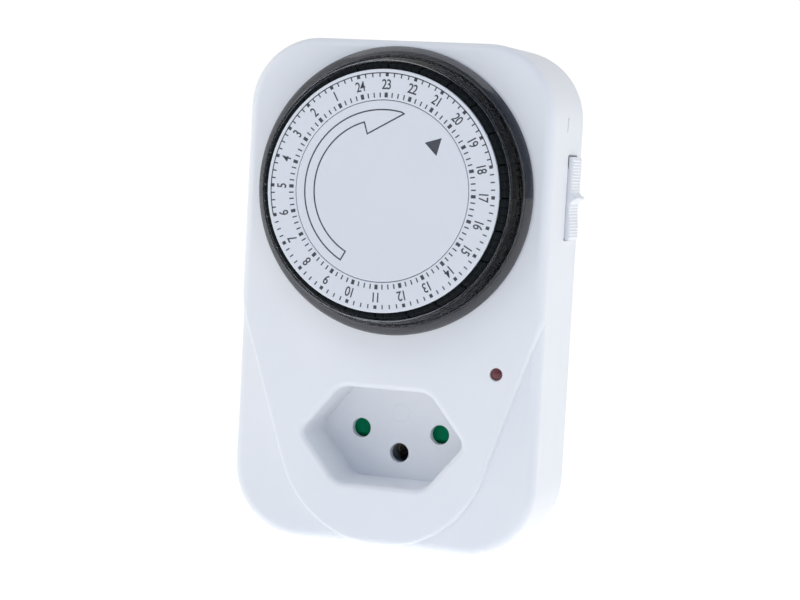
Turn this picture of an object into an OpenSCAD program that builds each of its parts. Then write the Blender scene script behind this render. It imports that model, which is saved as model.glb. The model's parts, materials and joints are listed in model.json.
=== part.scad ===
// Plug-in timer switch: a mechanical 24-hour timer with a three-pin socket in front
// and a three-pin plug behind. Every sub-part is drawn as it is seen from the front:
// x to the right, y up from the underside, z back from the front face. placed() then
// stands it in the part's own frame, whose origin is the centre of the flat underside.

/* [Housing] */
// Width of the housing
body_w = 71.4; // [71:0.1:73]
// Height of the housing
body_h = 113.8; // [113.2:0.1:116]
// Depth of the housing from its front face to its rear edge
body_d = 27.5; // [27.5:0.1:28.5]
// Radius of the four outer corners
corner_r = 16; // [14:0.5:17]
// Rounding where the front meets the sides
front_round = 2.2; // [1.2:0.1:2.4]
// Thickness of the front wall
front_wall = 2.6; // [2.2:0.1:2.6]
// Thickness of the side walls
side_wall = 2.2; // [1.8:0.1:2.2]
// How far the lower corners lie behind the front face
apron_step = 1; // [0.4:0.1:1.4]
// Radius of the raised apron round the socket
apron_r = 25; // [22:0.5:26]
// Lean of the apron's two sides from upright, in degrees
apron_lean = 18.3; // [10:0.1:22]

/* [Dial] */
// Height of the dial's axis above the underside
dial_y = 80.3; // [80.1:0.1:80.5]
// How far the dial's face stands in front of the housing
dial_proud = 9.2; // [9:0.1:9.4]
// Radius of the white dial face
face_r = 26.65; // [26.4:0.05:26.7]
// Radius of the fixed centre disc
centre_r = 19.85; // [19.2:0.05:19.9]
// Outer radius of the smoked skirt at its foot
skirt_r = 32.1; // [31.6:0.1:32.4]
// Outer radius of the skirt's front edge
skirt_front_r = 28.9; // [28.8:0.05:29.1]
// Width of one tappet, in degrees of the dial
tappet_sweep = 2.6; // [2.2:0.1:2.6]
// How far a tappet travels when it is pressed
tappet_travel = 3; // [2:0.1:3.2]

/* [Socket and plug] */
// Height of the line and neutral pins above the underside
pin_y = 24.9; // [24.7:0.1:25.1]
// Distance between the line and neutral pins
pin_spacing = 19; // [18.8:0.1:19.2]
// How far the earth pin lies below the other two
earth_drop = 5; // [4.8:0.1:5.2]
// Radius of a plug pin
pin_r = 2; // [1.95:0.01:2.05]
// Length of the plug pins
pin_length = 19; // [18:0.1:20]
// Radius of the socket's holes
hole_r = 2.25; // [2.15:0.01:2.3]
// Depth of the socket's recess
recess_d = 14; // [13.4:0.1:14]
// Half the width of the recess
recess_half_w = 18.6; // [18.4:0.1:18.8]
// Half the height of the recess
recess_half_h = 10.9; // [10.8:0.1:11.2]
// Rounding of the recess's four upper and lower corners
recess_round = 4.5; // [4:0.1:5]
// Rounding of the recess's two points
recess_tip_r = 2.4; // [2.3:0.1:3]
// Radius of the soft lip at the recess's mouth
recess_lip = 1.2; // [0.8:0.1:1.3]
// Depth of the plug's hexagonal boss
boss_d = 12; // [12:0.1:12.6]

/* [Controls] */
// Height of the middle of the side switch's window
window_y = 80.8; // [80.6:0.1:81]
// Length of the side switch's window
window_l = 19.2; // [19:0.1:19.6]
// Width of the side switch's window
window_w = 8.8; // [8.7:0.1:8.9]
// Travel of the side switch
switch_travel = 2.6; // [2:0.1:2.6]
// How far the side switch's grip stands proud of the wall
thumb_proud = 1.1; // [0.4:0.1:1.3]
// How far the fin in its middle stands proud of the wall
fin_proud = 2.7; // [1.6:0.1:2.8]
// Place of the pilot lamp, across and up
lamp_at = [25.8, 41.4];
// Radius of the pilot lamp's lens
lamp_r = 1.35; // [1.2:0.05:1.5]

/* [Movement] */
// Gear module of the wheel train
train_module = 0.4; // [0.4]
// Teeth of a wheel in the train
wheel_teeth = 48; // [48]
// Teeth of a pinion in the train
leaf_teeth = 8; // [8]
// Gear module of the dial's drive
drive_module = 0.5; // [0.5]
// Teeth inside the dial's gear ring
ring_teeth = 72; // [72]
// Teeth of the drive pinion
drive_teeth = 12; // [12]

/* [Hidden] */
$fn = 64;

// Clearances: beside a sliding or resting piece, and round a turning shaft
gap = 0.2;
running = 0.05;
tangent_ease = 0.005;

// Inside of the housing
inner_x = body_w / 2 - side_wall;
cover_t = 2.5;
inner_d = body_d - cover_t;
cover_bosses = [[-28, 102.5], [28, 102.5], [-26, 9.5], [26, 9.5]];
cover_boss_r = 3.2;
screw_r = 1.2;
screw_head_r = 2.4;
screw_head_t = 1.3;

// Socket, plug and contacts
line_at = [pin_spacing / 2, pin_y];
neutral_at = [-pin_spacing / 2, pin_y];
earth_at = [0, pin_y - earth_drop];
recess_slope = 51;
floor_t = 2;
floor_back = recess_d + floor_t;
shell_t = 1.5;
insert_lap = 0.5;
carrier_d = [floor_back + 2.9, floor_back + 4.4];
shutter_d = [floor_back + 0.3, floor_back + 2.3];
shutter_y = [pin_y - 2.6, pin_y + 3];
shutter_half_w = 12.2;
spring_r = 0.9;
spring_wire_r = 0.2;
boss_wall = 1.5;
boss_inset = 0.6;
boss_end = body_d + boss_d;
pin_end = boss_end + pin_length;
pin_root = boss_end - 3.5;
pin_collar_r = 2.8;
sleeve_end = boss_end + 9;
pin_neck_r = 1.6;
clip_back = recess_d + pin_length + 0.4;
strip = 0.6;

// Dial
hours = 24;
quarters = 4;
hour_angle = 360 / hours;
quarter_angle = hour_angle / quarters;
midnight_angle = 105;
opening_r = 30;
face_d = -dial_proud;
disc_t = 1;
hub_r = 6;
tappet_r = [26.8, 28.2, 29.1];
turning = 0.3;
tail_sweep = 1.9;
rib_t = 0.3;

// Movement
plate_d = [5.9, 7.5];
tappet_d = [face_d + 0.6, -1.2, plate_d[0] - 0.4 - tappet_travel];
cover_d = 21.2;
cover_wall = 1.2;
plate_r = 26.5;
plate_edge_x = 18.8;
plate_ears = [[-17.6, 108.4], [17.6, 108.4], [-12, 49.3], [12, 49.3]];
ear_r = 3;
ear_half_w = 2.5;
plate_screw_r = 0.9;
post_r = 0.6;
arbor_r = 0.9;
dial_at = [0, dial_y];
train_step = train_module * (wheel_teeth + leaf_teeth) / 2;
drive_reach = drive_module * (ring_teeth - drive_teeth) / 2;
drive_angle = 225;
second_angle = 90;
first_angle = 45;
rotor_angle = -35;
drive_at = dial_at + polar(drive_reach, drive_angle);
second_at = drive_at + polar(train_step, second_angle);
first_at = second_at + polar(train_step, first_angle);
rotor_at = first_at + polar(train_step, rotor_angle);
can_r = 10.5;
can_d = [11.6, cover_d - cover_wall];
can_sheet = 0.7;

// Side switch, lever and contacts
window_d = [14.9, 14.9 + window_w];
thumb_y = [72.9, window_y + window_l / 2 - 0.1 - switch_travel];
trigger_angle = 45;
lever_y = 70;
lever_d = 8.2;
lever_plate_d = [7.5, 8.9];
blade_x = [24, 28];
blade_d = 10.2;
blade_t = 0.3;
contact_y = 90;
contact_r = 1.5;
slider_x = inner_x - gap;

// Names of the sub-parts
function two_digits(n) = n < 10 ? str("0", n) : str(n);
function tappet_node(hour) = str("tappets_hour_", two_digits(hour));

// ---- Drawing helpers ----

function polar(r, angle) = [r * cos(angle), r * sin(angle)];

// Stands a drawing made in front view up in the part's frame
module placed() {
    translate([0, -body_d / 2, 0]) mirror([0, 1, 0]) rotate([90, 0, 0]) children();
}

// A flat outline given thickness, from one depth to another
module slab(depth) {
    translate([0, 0, depth[0]]) linear_extrude(depth[1] - depth[0]) children();
}

// A straight block from one corner to the opposite one
module bar(low, high) {
    translate(low) cube(high - low);
}

// A round bar running back into the housing
module rod(at, r, depth) {
    translate([at[0], at[1], depth[0]]) cylinder(r = r, h = depth[1] - depth[0]);
}

// A round bar running across the housing
module cross_rod(y, depth, r, x) {
    translate([x[0], y, depth]) rotate([0, 90, 0]) cylinder(r = r, h = x[1] - x[0]);
}

// Turned work about an axis at `at`; the section is drawn as [radius, depth]
module turned(at) {
    translate([at[0], at[1], 0]) rotate_extrude() children();
}

// Direction square to the straight side between two corner arcs, each [x, y, radius]
function side_normal(a, b) =
    let (apart = norm([b[0] - a[0], b[1] - a[1]]))
    atan2(b[1] - a[1], b[0] - a[0]) - 90 + asin((a[2] - b[2]) / apart);

// Points where the straight sides of an outline meet its corner arcs
function tangent_points(arcs, margin) =
    let (n = len(arcs))
    [for (i = [0:n - 1], side = [n - 1, n])
        [arcs[i][0], arcs[i][1]]
            + polar(arcs[i][2] + margin, side_normal(arcs[(i + side) % n], arcs[(i + side + 1) % n]))];

// A flat shape with the given corner arcs, grown or shrunk by a margin. Its sides lie a
// hair inside the arcs' tangents, so that they cross the arcs cleanly
module rounded(arcs, margin = 0) {
    polygon(tangent_points(arcs, margin - tangent_ease));
    for (arc = arcs) translate([arc[0], arc[1]]) circle(arc[2] + margin);
}

// Carries a section, drawn as [distance out, depth], round an outline of equal corner
// arcs: straight along each side and turned about each corner
module swept(arcs) {
    n = len(arcs);
    for (i = [0:n - 1]) {
        ahead = arcs[(i + 1) % n] - arcs[i];
        translate([arcs[i][0], arcs[i][1], 0]) {
            rotate(atan2(ahead[1], ahead[0])) mirror([0, 1, 0]) rotate([90, 0, 90])
                linear_extrude(norm(ahead)) children();
            rotate_extrude() children();
        }
    }
}

// A wall's section with its front edge rounded
module rounded_section(r, depth, edge) {
    translate([0, depth[0] + edge]) square([r, depth[1] - depth[0] - edge]);
    translate([0, depth[0]]) square([r - edge, edge + 1]);
    translate([r - edge, depth[0] + edge]) circle(edge);
}

// ---- Housing ----

// The housing's four corner arcs
function housing_arcs() =
    let (x = body_w / 2 - corner_r, top = body_h - corner_r)
    [for (p = [[-x, corner_r], [x, corner_r], [x, top], [-x, top]]) [p[0], p[1], corner_r]];

// The outside of the housing with its front face at one depth
module housing_block(front) {
    slab([front, body_d]) rounded(housing_arcs(), -corner_r + 1);
    swept(housing_arcs()) rounded_section(corner_r, [front, body_d], front_round);
}

// The raised part of the front: everything above the apron's edge
module apron_outline() {
    low = polar(apron_r, -apron_lean);
    rise = body_h + 10;
    high = [low[0] + rise * tan(apron_lean), low[1] + rise];
    translate([0, apron_r + 0.3]) {
        circle(apron_r);
        polygon([[-low[0], low[1]], low, high, [-high[0], high[1]]]);
    }
}

// The recess's six corner arcs
function recess_arcs() =
    let (tip = recess_half_w - recess_tip_r,
         top = recess_half_h - recess_round,
         knee = tip + (recess_tip_r - recess_round - top * cos(recess_slope)) / sin(recess_slope))
    [for (p = [[tip, 0], [knee, top], [-knee, top], [-tip, 0], [-knee, -top], [knee, -top]])
        [p[0], p[1] + pin_y, p[1] == 0 ? recess_tip_r : recess_round]];

// The recess's outline, grown or shrunk by a margin
module recess_outline(margin = 0) {
    rounded(recess_arcs(), margin);
}

// The flare of the recess's mouth: how far out it reaches at each depth
function lip_steps() =
    [for (turn = [-12, 30, 50, 70, 90])
        [recess_lip * (1 - cos(turn)) - (turn < 0 ? 0.15 : 0), recess_lip * (1 - sin(turn))]];

// One step of the flare, carried a little past the front face
module lip_step(deep, shallow) {
    beyond = shallow[1] < 0.001 ? 1 + 0.1 / (deep[1] - shallow[1]) : 1;
    edge = deep + beyond * (shallow - deep);
    hull() {
        translate([0, 0, deep[1]]) linear_extrude(0.001) recess_outline(deep[0]);
        translate([0, 0, edge[1]]) linear_extrude(0.001) recess_outline(edge[0]);
    }
}

module front_housing() color("white") placed() {
    difference() {
        union() {
            difference() {
                union() {
                    intersection() {
                        housing_block(0);
                        slab([-1, front_round + apron_step + 1]) apron_outline();
                    }
                    housing_block(apron_step);
                }
                slab([front_wall, body_d + 1]) rounded(housing_arcs(), -side_wall);
            }
            slab([front_wall - 1, carrier_d[1]]) recess_outline(shell_t);
            for (at = cover_bosses) rod(at, cover_boss_r, [front_wall - 1, inner_d]);
            for (at = plate_ears) rod(at, ear_r - 0.4, [front_wall - 1, plate_d[0]]);
            rod(lamp_at, lamp_r + 1.6, [front_wall - 1, 9]);
            slider_rails();
        }
        rod(dial_at, opening_r, [-1, front_wall + 0.5]);
        slab([-1, recess_d + 1]) recess_outline();
        for (i = [1:len(lip_steps()) - 1]) lip_step(lip_steps()[i - 1], lip_steps()[i]);
        slab([recess_d, carrier_d[1] + 1]) recess_outline(insert_lap);
        for (at = cover_bosses) rod(at, screw_r + running, [inner_d - 12.5, inner_d + 1]);
        for (at = plate_ears) rod(at, plate_screw_r + running, [3, plate_d[0] + 1]);
        rod(lamp_at, lamp_r + running, [-1, front_wall + 1]);
        rod(lamp_at, 2.2, [front_wall, 10]);
        window();
    }
}

// The floor of the recess, a plate that drops in from behind against a shoulder
module socket_insert() color("white") placed() difference() {
    slab([recess_d, floor_back]) recess_outline(insert_lap - running);
    for (at = [line_at, neutral_at, earth_at]) rod(at, hole_r, [recess_d - 1, floor_back + 1]);
}

// The side switch's window through the right-hand wall
module window() {
    bar([inner_x - 1, window_y - window_l / 2, window_d[0]],
        [body_w / 2 + 1, window_y + window_l / 2, window_d[1]]);
}

// Two short rails that the side switch's base runs against
module slider_rails() {
    for (y = [[67, 74], [88, 95]])
        bar([slider_x - 1.8, y[0], 12.6], [inner_x + 0.5, y[1], 13.4]);
}

module rear_cover() color("white") placed() {
    difference() {
        union() {
            slab([inner_d, body_d]) rounded(housing_arcs(), -side_wall - 0.1);
            slab([body_d, boss_end]) recess_outline(-boss_inset);
        }
        slab([inner_d, boss_end - 2]) recess_outline(-boss_inset - boss_wall);
        for (at = [line_at, neutral_at, earth_at]) rod(at, pin_neck_r, [boss_end - 3, boss_end + 1]);
        for (at = cover_bosses) {
            rod(at, screw_r + 0.15, [inner_d - 1, body_d + 1]);
            rod(at, screw_head_r + gap, [body_d - 1.5, body_d + 1]);
        }
    }
}

module housing_screws() color("silver") placed() {
    head = [body_d - 1.5, body_d - 1.5 + screw_head_t];
    for (at = cover_bosses) difference() {
        union() {
            rod(at, screw_r, [inner_d - 12, head[0]]);
            rod(at, screw_head_r, head);
        }
        translate([at[0], at[1], head[1] - 0.8]) cylinder(r = 1, h = 2, $fn = 3);
    }
}

// ---- Plug pins and contacts ----

// A pin with a round tip, a collar inside the boss and a thinner neck up to one depth
module plug_pin(at, neck_end) {
    tip = 1;
    turned(at) {
        translate([0, pin_root]) square([pin_collar_r, 1.5]);
        translate([0, pin_root]) square([pin_neck_r, neck_end - pin_root]);
        translate([0, neck_end]) square([pin_r, pin_end - tip - neck_end]);
        translate([0, neck_end]) square([pin_r - tip, pin_end - neck_end]);
        translate([pin_r - tip, pin_end - tip]) circle(tip);
    }
}

module line_pin() color("gold") placed() plug_pin(line_at, sleeve_end);

module neutral_pin() color("gold") placed() plug_pin(neutral_at, sleeve_end);

module earth_pin() color("gold") placed() plug_pin(earth_at, boss_end);

module pin_sleeves() color("dimgray") placed() {
    for (at = [line_at, neutral_at]) turned(at)
        translate([pin_neck_r, boss_end]) square([pin_r - pin_neck_r, sleeve_end - boss_end]);
}

// Two spring leaves either side of a plug pin, and the plate that joins them
module clip(at) {
    leaf = 0.5;
    reach = hole_r - gap;
    for (side = [-1, 1]) {
        x = at[0] + side * (reach + leaf / 2);
        bar([x - leaf / 2, at[1] - 2.1, carrier_d[1] + 0.4],
            [x + leaf / 2, at[1] + 2.1, clip_back]);
    }
    bar([at[0] - reach - leaf, at[1] - 2.1, clip_back],
        [at[0] + reach + leaf, at[1] + 2.1, clip_back + strip]);
}

// A clip with a short neck back to its own plug pin
module through_strip(at) {
    clip(at);
    bar([at[0] - 1.5, at[1] - 1.5, clip_back], [at[0] + 1.5, at[1] + 1.5, pin_root]);
}

module neutral_earth_strips() color("goldenrod") placed()
    for (at = [neutral_at, earth_at]) through_strip(at);

// From the line pin, forward out of the boss, across and up to the fixed contact
module line_strip() color("goldenrod") placed() line_strip_shape();

module line_strip_shape() {
    x = [3.6, 8.4];
    top = pin_y + 8.3;
    run_d = 22.6;
    run_x = [28.6, 31.4];
    pad_y = [contact_y - 2, contact_y + 2];
    pad_d = 14.4;
    bar([x[0], pin_y - 2.5, pin_root - strip], [line_at[0] + 2.5, pin_y + 2.5, pin_root]);
    bar([x[0], pin_y, pin_root - strip], [x[1], top, pin_root]);
    bar([x[0], top - strip, run_d], [x[1], top, pin_root]);
    bar([x[0], top - strip, run_d], [run_x[1], top + 3.8, run_d + strip]);
    bar([run_x[0], top - strip, run_d], [run_x[1], pad_y[1], run_d + strip]);
    bar([blade_x[0], pad_y[0], run_d], [run_x[1], pad_y[1], run_d + strip]);
    bar([blade_x[0], pad_y[1] - strip, pad_d], [blade_x[1], pad_y[1], run_d + strip]);
    bar([blade_x[0], pad_y[0], pad_d], [blade_x[1], pad_y[1], pad_d + strip]);
    rod([(blade_x[0] + blade_x[1]) / 2, contact_y], contact_r, [12.95, pad_d]);
}

// From the moving blade's foot down to the clip behind the line hole
module switched_strip() color("goldenrod") placed() switched_strip_shape();

module switched_strip_shape() {
    x = [5, 9];
    top = pin_y + 6.1;
    run_d = 21;
    foot_y = [62, 67];
    foot_d = blade_d + blade_t;
    clip(line_at);
    bar([x[0], pin_y - 2.1, clip_back], [x[1], top, clip_back + strip]);
    bar([x[0], top - strip, run_d], [x[1], top, clip_back + strip]);
    bar([x[0], top - strip, run_d], [blade_x[1], top + 3.6, run_d + strip]);
    bar([blade_x[0], top - strip, run_d], [blade_x[1], foot_y[1], run_d + strip]);
    bar([blade_x[0], foot_y[1] - strip, foot_d], [blade_x[1], foot_y[1], run_d + strip]);
    bar([blade_x[0], foot_y[0], foot_d], [blade_x[1], foot_y[1], foot_d + strip]);
}

// Closes the chamber behind the recess's floor and holds the three clips apart
module contact_carrier() color("lightgray") placed() {
    tower = 3.5;
    pocket = 2.75;
    difference() {
        union() {
            slab(carrier_d) recess_outline(insert_lap - 0.1);
            for (at = [line_at, neutral_at, earth_at])
                bar([at[0] - tower, at[1] - tower, carrier_d[0]],
                    [at[0] + tower, at[1] + tower, inner_d]);
        }
        for (at = [line_at, neutral_at, earth_at]) {
            rod(at, hole_r + gap, [carrier_d[0] - 1, carrier_d[1] + 1]);
            bar([at[0] - pocket, at[1] - pocket, carrier_d[1]],
                [at[0] + pocket, at[1] + pocket, inner_d + 1]);
        }
    }
}

// The green shutter: it covers the line and neutral holes, and its two ramps let a
// plug's pins push it up
module shutter() color("green") placed() {
    w = shutter_half_w;
    low = shutter_y[0];
    high = shutter_y[1];
    pocket = spring_r + spring_wire_r + 0.2;
    difference() {
        slab(shutter_d) polygon([
            [-w, low], [w, low], [w, high - 1.2], [w - 1.2, high], [1.2 - w, high], [-w, high - 1.2]
        ]);
        bar([-pocket, pin_y - 0.6, shutter_d[0] - 1], [pocket, high + 1, shutter_d[1] + 1]);
        for (at = [line_at, neutral_at])
            translate([at[0] - 2.8, pin_y - 1.4, shutter_d[0]]) rotate([-32, 0, 0])
                translate([0, -4, -4]) cube([5.6, 8, 4]);
    }
}

// The return spring, a coil along y above the shutter
module shutter_spring() color("silver") placed() {
    foot = pin_y - 0.6;
    head = pin_y + recess_half_h + insert_lap;
    turns = 9;
    steps = 14;
    sides = 6;
    count = turns * steps;
    lift = (head - foot - 2 * spring_wire_r) / count;
    ring_points = [
        for (i = [0:count], k = [0:sides - 1])
            let (turn = 360 * i / steps,
                 r = spring_r + spring_wire_r * cos(360 * k / sides),
                 y = foot + spring_wire_r + lift * i + spring_wire_r * sin(360 * k / sides))
            [r * sin(turn), y, (shutter_d[0] + shutter_d[1]) / 2 + r * cos(turn)]
    ];
    side_faces = [
        for (i = [0:count - 1], k = [0:sides - 1])
            let (a = i * sides + k, b = i * sides + (k + 1) % sides)
            [a, b, b + sides, a + sides]
    ];
    first_end = [for (k = [sides - 1:-1:0]) k];
    last_end = [for (k = [0:sides - 1]) count * sides + k];
    polyhedron(points = ring_points, faces = concat(side_faces, [first_end, last_end]));
}

// ---- Pilot lamp ----

module lamp_lens() color("darkred") placed() turned(lamp_at) {
    translate([0, 0.3]) square([lamp_r, front_wall]);
    translate([0, front_wall]) square([2.1, 0.6]);
    intersection() {
        translate([0, 2 * lamp_r - 0.4]) circle(2 * lamp_r);
        square([lamp_r, 2 * lamp_r], center = true);
        translate([0, -lamp_r]) square([lamp_r, lamp_r + 0.5]);
    }
}

module neon_bulb() color("lightpink") placed() {
    glass_r = 1.9;
    glass_d = [front_wall + 0.6, 12];
    turned(lamp_at) {
        translate([0, glass_d[0] + glass_r]) square([glass_r, glass_d[1] - glass_d[0] - glass_r]);
        intersection() {
            translate([0, glass_d[0] + glass_r]) circle(glass_r);
            translate([0, glass_d[0]]) square([glass_r, glass_r + 0.5]);
        }
    }
    for (side = [-1, 1]) rod(lamp_at + [side * 0.9, 0], 0.25, [glass_d[1], 17]);
}

// ---- Dial ----

// A dial-centred piece
module on_dial() {
    translate([dial_at[0], dial_at[1], 0]) children();
}

module dial_carrier() color("black") placed() on_dial() {
    web_d = [face_d + 2.8, face_d + 4.2];
    ring_d = [web_d[0], 3.2];
    ring_r = drive_module * ring_teeth / 2 + 2.6;
    rim_r = [24.6, tappet_r[0] - gap];
    rotate_extrude() {
        translate([hub_r + running, web_d[0] - 0.8]) square([2, 4.6 - web_d[0] + 0.8]);
        translate([hub_r + 1, web_d[0]]) square([rim_r[1] - hub_r - 1, web_d[1] - web_d[0]]);
        translate([rim_r[0], face_d + 1.2]) square([rim_r[1] - rim_r[0], 8.8]);
        translate([ring_r, face_d + 1.2]) square([1, 2]);
    }
    slab(ring_d) difference() {
        circle(ring_r);
        polygon(ring_spaces());
    }
    for (hour = [1:hours]) rotate(midnight_angle + hour * hour_angle) {
        bar([rim_r[1] - 0.3, -rib_t / 2, -6], [tappet_r[1] - 0.1, rib_t / 2, -0.8]);
        bar([rim_r[1] - 0.3, -rib_t / 2, -2.4], [opening_r, rib_t / 2, -0.8]);
    }
}

module scale_ring() color("white") placed() turned(dial_at)
    translate([centre_r + turning, face_d]) square([face_r - centre_r - turning, disc_t + 0.2]);

module centre_disc() color("white") placed() turned(dial_at)
    translate([0, face_d]) square([centre_r, disc_t]);

// The smoked skirt that is gripped to set the time
module dial_skirt() color("dimgray") placed() turned(dial_at) polygon([
    [skirt_front_r, -6.8], [skirt_front_r - 0.5, -6.9], [29.5, -3.4], [opening_r, -2.4],
    [opening_r, -turning], [skirt_r, -turning], [skirt_r, -0.7], [30.4, -1.6]
]);

// The four tappets of one hour; each is a wedge with a narrower tail behind it
module tappets(hour) color("black") placed() on_dial() {
    inner = tappet_r[0];
    outer = tappet_r[2];
    tip = tappet_r[1];
    front = tappet_d[0];
    waist = tappet_d[1];
    back = tappet_d[2];
    for (quarter = [0:quarters - 1])
        rotate(midnight_angle + hour * hour_angle + (quarter + 0.5) * quarter_angle) {
            rotate(-tappet_sweep / 2) rotate_extrude(angle = tappet_sweep) polygon([
                [inner, front], [tip - 0.8, front], [tip, front + 1], [tip, -5.5],
                [outer, -4], [outer, waist], [inner, waist]
            ]);
            rotate(-tail_sweep / 2) rotate_extrude(angle = tail_sweep) polygon([
                [inner + 0.4, waist - 0.1], [outer - 0.4, waist - 0.1], [outer - 0.4, back - 0.4],
                [outer - 0.8, back], [inner + 0.8, back], [inner + 0.4, back - 0.4]
            ]);
        }
}

// ---- Gears ----

// Outline of a gear whose first tooth points along `phase`
function gear_outline(teeth, m, phase) =
    let (pitch = 360 / teeth, root = m * (teeth / 2 - 1.2), tip = m * (teeth / 2 + 0.9))
    [for (i = [0:teeth - 1], c = [[root, -0.32], [tip, -0.11], [tip, 0.11], [root, 0.32]])
        polar(c[0], phase + pitch * (i + c[1]))];

// Outline of the hole in the dial's gear ring, with a space along the drive's direction
function ring_spaces() =
    let (pitch = 360 / ring_teeth,
         tip = drive_module * (ring_teeth / 2 - 0.9),
         root = drive_module * (ring_teeth / 2 + 1.2))
    [for (i = [0:ring_teeth - 1], c = [[tip, -0.39], [root, -0.18], [root, 0.18], [tip, 0.39]])
        polar(c[0], drive_angle + pitch * (i + c[1]))];

// Phase of a wheel that has a space where its neighbour's tooth points at it
function facing(direction, teeth) = direction + 180 + 180 / teeth;

module gear(at, teeth, m, phase, depth) {
    slab(depth) translate(at) polygon(gear_outline(teeth, m, phase));
}

module rotor() color("dimgray") placed() difference() {
    union() {
        gear(rotor_at, leaf_teeth, train_module, rotor_angle + 180, [8, 10.2]);
        rod(rotor_at, 1.1, [10.1, 12.5]);
        rod(rotor_at, 5.5, [12.5, 18.6]);
    }
    rod(rotor_at, post_r + running, [7, 20]);
}

// A wheel and its pinion in one moulding
module compound_gear(at, wheel_phase, wheel_d, leaf_phase, leaf_d) {
    difference() {
        union() {
            gear(at, wheel_teeth, train_module, wheel_phase, wheel_d);
            gear(at, leaf_teeth, train_module, leaf_phase, leaf_d);
        }
        rod(at, post_r + running, [wheel_d[0] - 1, leaf_d[1] + 1]);
    }
}

module first_gear() color("ivory") placed()
    compound_gear(first_at, facing(rotor_angle + 180, wheel_teeth), [8.3, 9.5],
        first_angle + 180, [9.4, 11.4]);

module second_gear() color("wheat") placed()
    compound_gear(second_at, facing(first_angle + 180, wheel_teeth), [10.3, 11.3],
        second_angle + 180, [11.2, 14]);

module clutch_wheel() color("ivory") placed() difference() {
    gear(drive_at, wheel_teeth, train_module, facing(second_angle + 180, wheel_teeth), [12.2, 13.4]);
    rod(drive_at, arbor_r + running, [11, 15]);
}

module clutch_spring() color("silver") placed() turned(drive_at) polygon([
    [arbor_r + running, 13.75], [3.8, 13.45], [3.8, 13.65], [arbor_r + running, 13.95]
]);

// The pinion that turns the dial, its arbor, and the two collars beside the clutch
module drive_pinion() color("ivory") placed() {
    gear(drive_at, drive_teeth, drive_module, drive_angle, [-1.5, 2.8]);
    rod(drive_at, arbor_r, [2.7, 19.8]);
    rod(drive_at, 2.4, [11.7, 12.1]);
    rod(drive_at, 2.4, [14, 15]);
}

module gear_posts() color("silver") placed() {
    for (at = [first_at, second_at]) rod(at, post_r, [plate_d[0], cover_d - cover_wall]);
    rod(rotor_at, post_r, [plate_d[0], can_d[1] - can_sheet]);
}

// ---- Movement ----

module plate_outline(margin = 0) {
    translate(dial_at) intersection() {
        circle(plate_r - margin);
        translate([-plate_r, -plate_r]) square([plate_r + plate_edge_x - margin, 2 * plate_r]);
    }
}

// The front plate, with the hub that the dial turns on
module movement_plate() color("gray") placed() difference() {
    union() {
        slab(plate_d) {
            plate_outline();
            for (at = plate_ears) {
                out = at - dial_at;
                translate(at) circle(ear_r);
                translate(dial_at) rotate(atan2(out[1], out[0])) translate([plate_r - 4, -ear_half_w])
                    square([norm(out) - plate_r + 4, 2 * ear_half_w]);
            }
        }
        rod(dial_at, hub_r, [face_d + disc_t, plate_d[1]]);
        rod(dial_at, hub_r + 3, [plate_d[0] - 1, plate_d[1]]);
    }
    for (at = plate_ears) rod(at, plate_screw_r + running, [5, 8]);
    for (at = [rotor_at, first_at, second_at]) rod(at, post_r, [5, 8]);
    rod(drive_at, arbor_r + running, [5, 8]);
}

module movement_cover() color("gray") placed() {
    back = cover_d - cover_wall;
    difference() {
        slab([plate_d[1], cover_d]) plate_outline();
        slab([plate_d[1] - 1, back]) plate_outline(cover_wall);
    }
    difference() {
        rod(drive_at, 2.4, [17.5, back + 0.1]);
        rod(drive_at, arbor_r + running, [17, back]);
    }
}

module movement_screws() color("silver") placed() {
    for (at = plate_ears) {
        rod(at, plate_screw_r, [3.2, plate_d[1]]);
        rod(at, 2 * plate_screw_r, [plate_d[1], plate_d[1] + 1.2]);
    }
}

module motor_can() color("silver") placed() turned(rotor_at) {
    translate([can_r - can_sheet, can_d[0]]) square([can_sheet, can_d[1] - can_d[0]]);
    translate([2.4, can_d[0]]) square([can_r - 2.4, can_sheet]);
    translate([0, can_d[1] - can_sheet]) square([can_r, can_sheet]);
}

module motor_coil() color("peru") placed() turned(rotor_at)
    translate([6.2, can_d[0] + 0.9]) square([can_r - can_sheet - 6.2, can_d[1] - can_d[0] - 1.8]);

// ---- Side switch, lever and contacts ----

// Carries the lever's pivot and holds the two contact strips
module switch_block() color("lightgray") placed() {
    x = [20.4, 32.6];
    ear = 1.3;
    difference() {
        union() {
            bar([x[0], 58, blade_d + 1], [x[1], 65, inner_d]);
            for (ear_x = [x[0], x[1] - ear])
                bar([ear_x, 58, lever_d - 1.7], [ear_x + ear, lever_y + 2, 12]);
            for (at = [[26, 59.7], [31, 60.5]]) rod(at, 1.4, [front_wall, blade_d + 1.1]);
            cross_rod(lever_y, lever_d, 0.8, x);
        }
        line_strip_shape();
        switched_strip_shape();
    }
}

module contact_blade() color("goldenrod") placed() {
    bar([blade_x[0], 62, blade_d], [blade_x[1], contact_y + 2, blade_d + blade_t]);
    rod([(blade_x[0] + blade_x[1]) / 2, contact_y], contact_r, [blade_d + blade_t, 11.1]);
}

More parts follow.
